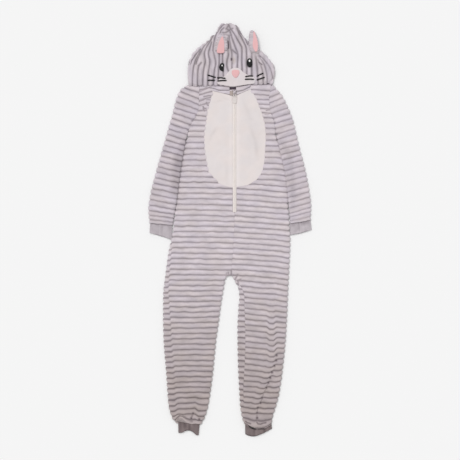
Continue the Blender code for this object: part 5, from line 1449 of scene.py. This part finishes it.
def pad(name, points, seat, rise, sink, edge, seed, puff=0.0, groove=None, root=None):
    """A sewn-on piece: its outline domes up from its stitched rim, which sinks into what it lies on."""
    line = closed_line(points)
    centre = line.mean(axis=0)
    reach = np.linalg.norm(line - centre, axis=1).mean()
    shares = np.append([0.03, 0.5, 0.97, 1.0], 1 - (1 - np.cos(np.linspace(0.25, np.pi / 2, 26))) * 0.97)
    low = np.array([1, 1, 1, 0.6] + [0] * 26)[:, None]
    around = centre + (line - centre) * shares[:, None, None]
    x, y = around[..., 0], around[..., 1]
    inset = (1 - shares)[:, None] * reach
    top = rise * rounded(inset / edge) + puff * np.sin(np.clip(inset / reach, 0, 1) * np.pi / 2)
    top = top + 0.00025 * unevenness(x, y, 0.008, seed) * np.clip(inset / edge, 0, 1)
    z = seat(x, y) + np.where(low > 0, -sink * low, top)
    if root is not None:
        z = z - 0.0105 * (1 - ease((y - root) / 0.014)) ** 1.3
    shade = groove(y, inset) if groove else 0.0
    return cloth(name, places(x, y, z), np.where(low > 0.9, 0, shade))


def drop_onto(pieces):
    """Finds how high the cloth is at a place, from above."""
    trees = [
        BVHTree.FromPolygons([v.co for v in piece.data.vertices], [p.vertices for p in piece.data.polygons])
        for piece in pieces
    ]

    def height(x, y):
        hits = [tree.ray_cast(Vector((x, y, 0.2)), Vector((0, 0, -1)))[0] for tree in trees]
        return max((hit.z for hit in hits if hit), default=0.0)

    return height


def thread(name, points, radius, height):
    """A twisted cord laid along points, resting on the cloth below it."""
    line = softened(points, 3)
    length = length_along(line)
    steps = np.arange(0, length[-1], radius * 0.9)
    x, y = (np.interp(steps, length, column) for column in line.T)
    z = np.array([height(a, b) for a, b in zip(x, y)])
    for _ in range(8):
        z = np.maximum(z, 0.5 * z + 0.25 * (np.append(z[1:], z[-1]) + np.append(z[:1], z[:-1])))
    run = unit(np.stack([np.gradient(x), np.gradient(y)], axis=-1))
    ends = rounded(np.minimum(steps, steps[-1] - steps) / radius, 0.05)
    size = radius * ends * (1 + 0.10 * np.sin(steps / 0.0012 * 2 * np.pi))
    wide = places(-run[:, 1], run[:, 0], 0) * size[:, None]
    return cloth(name, round_line(places(x, y, z + radius * 0.7), 10, wide, places(0, 0, size)))


muzzle_fleece = fleece("muzzle_fleece", srgb_colour(221, 213, 215), 0.16)
pink_plush = fleece("pink_plush", srgb_colour(231, 183, 185), 0.14)
satin = fleece("black_satin", (0.008, 0.008, 0.009, 1.0), 0.3, roughness=0.45, sheen=0.0)
glint_thread = fleece("white_thread", srgb_colour(240, 238, 238), 0.05)
muzzle = pad("muzzle_fleece_pad", MUZZLE, level(HOOD_TOP), MUZZLE_RISE, 0.0030, 0.0035, 81, 0.0003)
nose = pad("nose_plush", NOSE, level(HOOD_TOP + MUZZLE_RISE), 0.0026, 0.0012, 0.0035, 82, 0.0003)
dress(muzzle, muzzle_fleece, "muzzle")
dress(nose, pink_plush, "nose")
for name, points, seed in (
    ("eye_right", EYE_RIGHT, 83), ("eye_left", oval(0.0624, 0.5334, 0.0088, 0.0146), 84),
):
    piece = pad(name + "_satin", points, level(EYE_TOP - EYE_RISE), EYE_RISE, 0.0055, 0.0016, seed)
    dress(piece, satin, name)
for name, points, seed in (
    ("glint_right", oval(-0.0252, 0.5244, 0.0019, 0.0025), 85),
    ("glint_left", oval(0.0624, 0.5396, 0.0028, 0.0037), 86),
):
    dress(pad(name, points, level(EYE_TOP), 0.0005, 0.0006, 0.0008, seed), glint_thread)

face_height = drop_onto([hood_top, muzzle])
for number, points in enumerate(WHISKERS, 1):
    dress(thread(f"whisker_{number}", points, WHISKER, face_height), satin)


# ---- Ears ------------------------------------------------------------------------------------------
# Two ears of plush with a pink plush inside, sewn in at their roots. One lies on the hood, and the
# other droops over the hood's edge.

EAR_RISE = 0.0050
EAR_RIGHT = (
    (-0.045, 0.560), (-0.013, 0.560), (-0.008, 0.575), (-0.007, 0.590), (-0.010, 0.606), (-0.018, 0.620),
    (-0.029, 0.628), (-0.038, 0.618), (-0.045, 0.604), (-0.048, 0.590), (-0.048, 0.575),
)
EAR_INNER_RIGHT = (
    (-0.041, 0.565), (-0.020, 0.565), (-0.018, 0.580), (-0.0185, 0.598), (-0.021, 0.611), (-0.024, 0.618),
    (-0.030, 0.610), (-0.036, 0.597), (-0.040, 0.581),
)
EAR_LEFT = (
    (0.070, 0.552), (0.090, 0.552), (0.0925, 0.575), (0.091, 0.597), (0.088, 0.614), (0.081, 0.631),
    (0.071, 0.639), (0.063, 0.633), (0.060, 0.615), (0.060, 0.595), (0.064, 0.573),
)
EAR_INNER_LEFT = (
    (0.0805, 0.569), (0.0870, 0.571), (0.0890, 0.585), (0.0885, 0.598), (0.0850, 0.615), (0.0785, 0.632),
    (0.0748, 0.632), (0.0740, 0.612), (0.0725, 0.597), (0.0730, 0.583),
)


def over_edge(clearance):
    """The drooping ear's seat falls off towards its tip."""
    return lambda x, y: 0.0209 + clearance - 0.161 * (y - 0.552)


def short_folds(y, inset):
    """Painted shade in little cross folds of the plush where it turns in to the pink."""
    return 0.5 * bell(inset - 0.0045, 0.0025) * ease((np.sin(y * 2 * np.pi / 0.0085) - 0.2) / 0.5)


# the second colour is the painted shade at the bottom of each groove and cross fold
ear_plush = ribbed_plush("ear_plush", srgb_colour(203, 193, 199), srgb_colour(126, 114, 122))
on_hood = HOOD_TOP + 0.0009
for name, points, seat, root, seed in (
    ("ear_right", EAR_RIGHT, level(on_hood), 0.5640, 91), ("ear_left", EAR_LEFT, over_edge(0.0), 0.5600, 92),
):
    piece = pad(name + "_plush", points, seat, EAR_RISE, 0.0012, 0.0060, seed, groove=short_folds, root=root)
    dress(piece, ear_plush, name)
for name, points, seat, seed in (
    ("ear_inner_right", EAR_INNER_RIGHT, level(on_hood + EAR_RISE), 93),
    ("ear_inner_left", EAR_INNER_LEFT, over_edge(EAR_RISE), 94),
):
    dress(pad(name + "_plush", points, seat, 0.0014, 0.0010, 0.0025, seed), pink_plush, name)


# ---- Floor, light and camera -----------------------------------------------------------------------
# A plain pale floor, wide soft light from overhead, and a camera that looks straight down.

CAMERA_HEIGHT = 6.0
VIEW_WIDTH = 1.472  # how much of the floor the picture is wide

bpy.ops.mesh.primitive_plane_add(size=12, location=(0, 0, -0.0004))
floor = bpy.context.object
floor.name = "floor"
paper, _ = new_material(
    "pale_floor", {"Base Color": (0.915, 0.915, 0.915, 1), "Roughness": 1.0, "Specular IOR Level": 0.0}
)
floor.data.materials.append(paper)

sky = bpy.data.worlds.new("studio")
sky.use_nodes = True
sky.node_tree.nodes["Background"].inputs["Color"].default_value = (1, 1, 1, 1)
sky.node_tree.nodes["Background"].inputs["Strength"].default_value = 0.58
bpy.context.scene.world = sky
lamp = bpy.data.lights.new("soft_box", "SUN")
lamp.energy, lamp.angle = 1.47, np.radians(35)
soft_box = bpy.data.objects.new("soft_box", lamp)
bpy.context.scene.collection.objects.link(soft_box)
soft_box.location = (-0.9, 1.3, 3.2)
soft_box.rotation_euler = (Vector((0, 0, 0)) - soft_box.location).to_track_quat("-Z", "Y").to_euler()

lens = bpy.data.cameras.new("camera")
camera = bpy.data.objects.new("camera", lens)
bpy.context.scene.collection.objects.link(camera)
camera.location = (0, 0, CAMERA_HEIGHT)
lens.sensor_width = 36.0
lens.lens = lens.sensor_width * CAMERA_HEIGHT / VIEW_WIDTH
lens.clip_end = 50
bpy.context.scene.camera = camera
bpy.context.scene.view_settings.view_transform = "Standard"
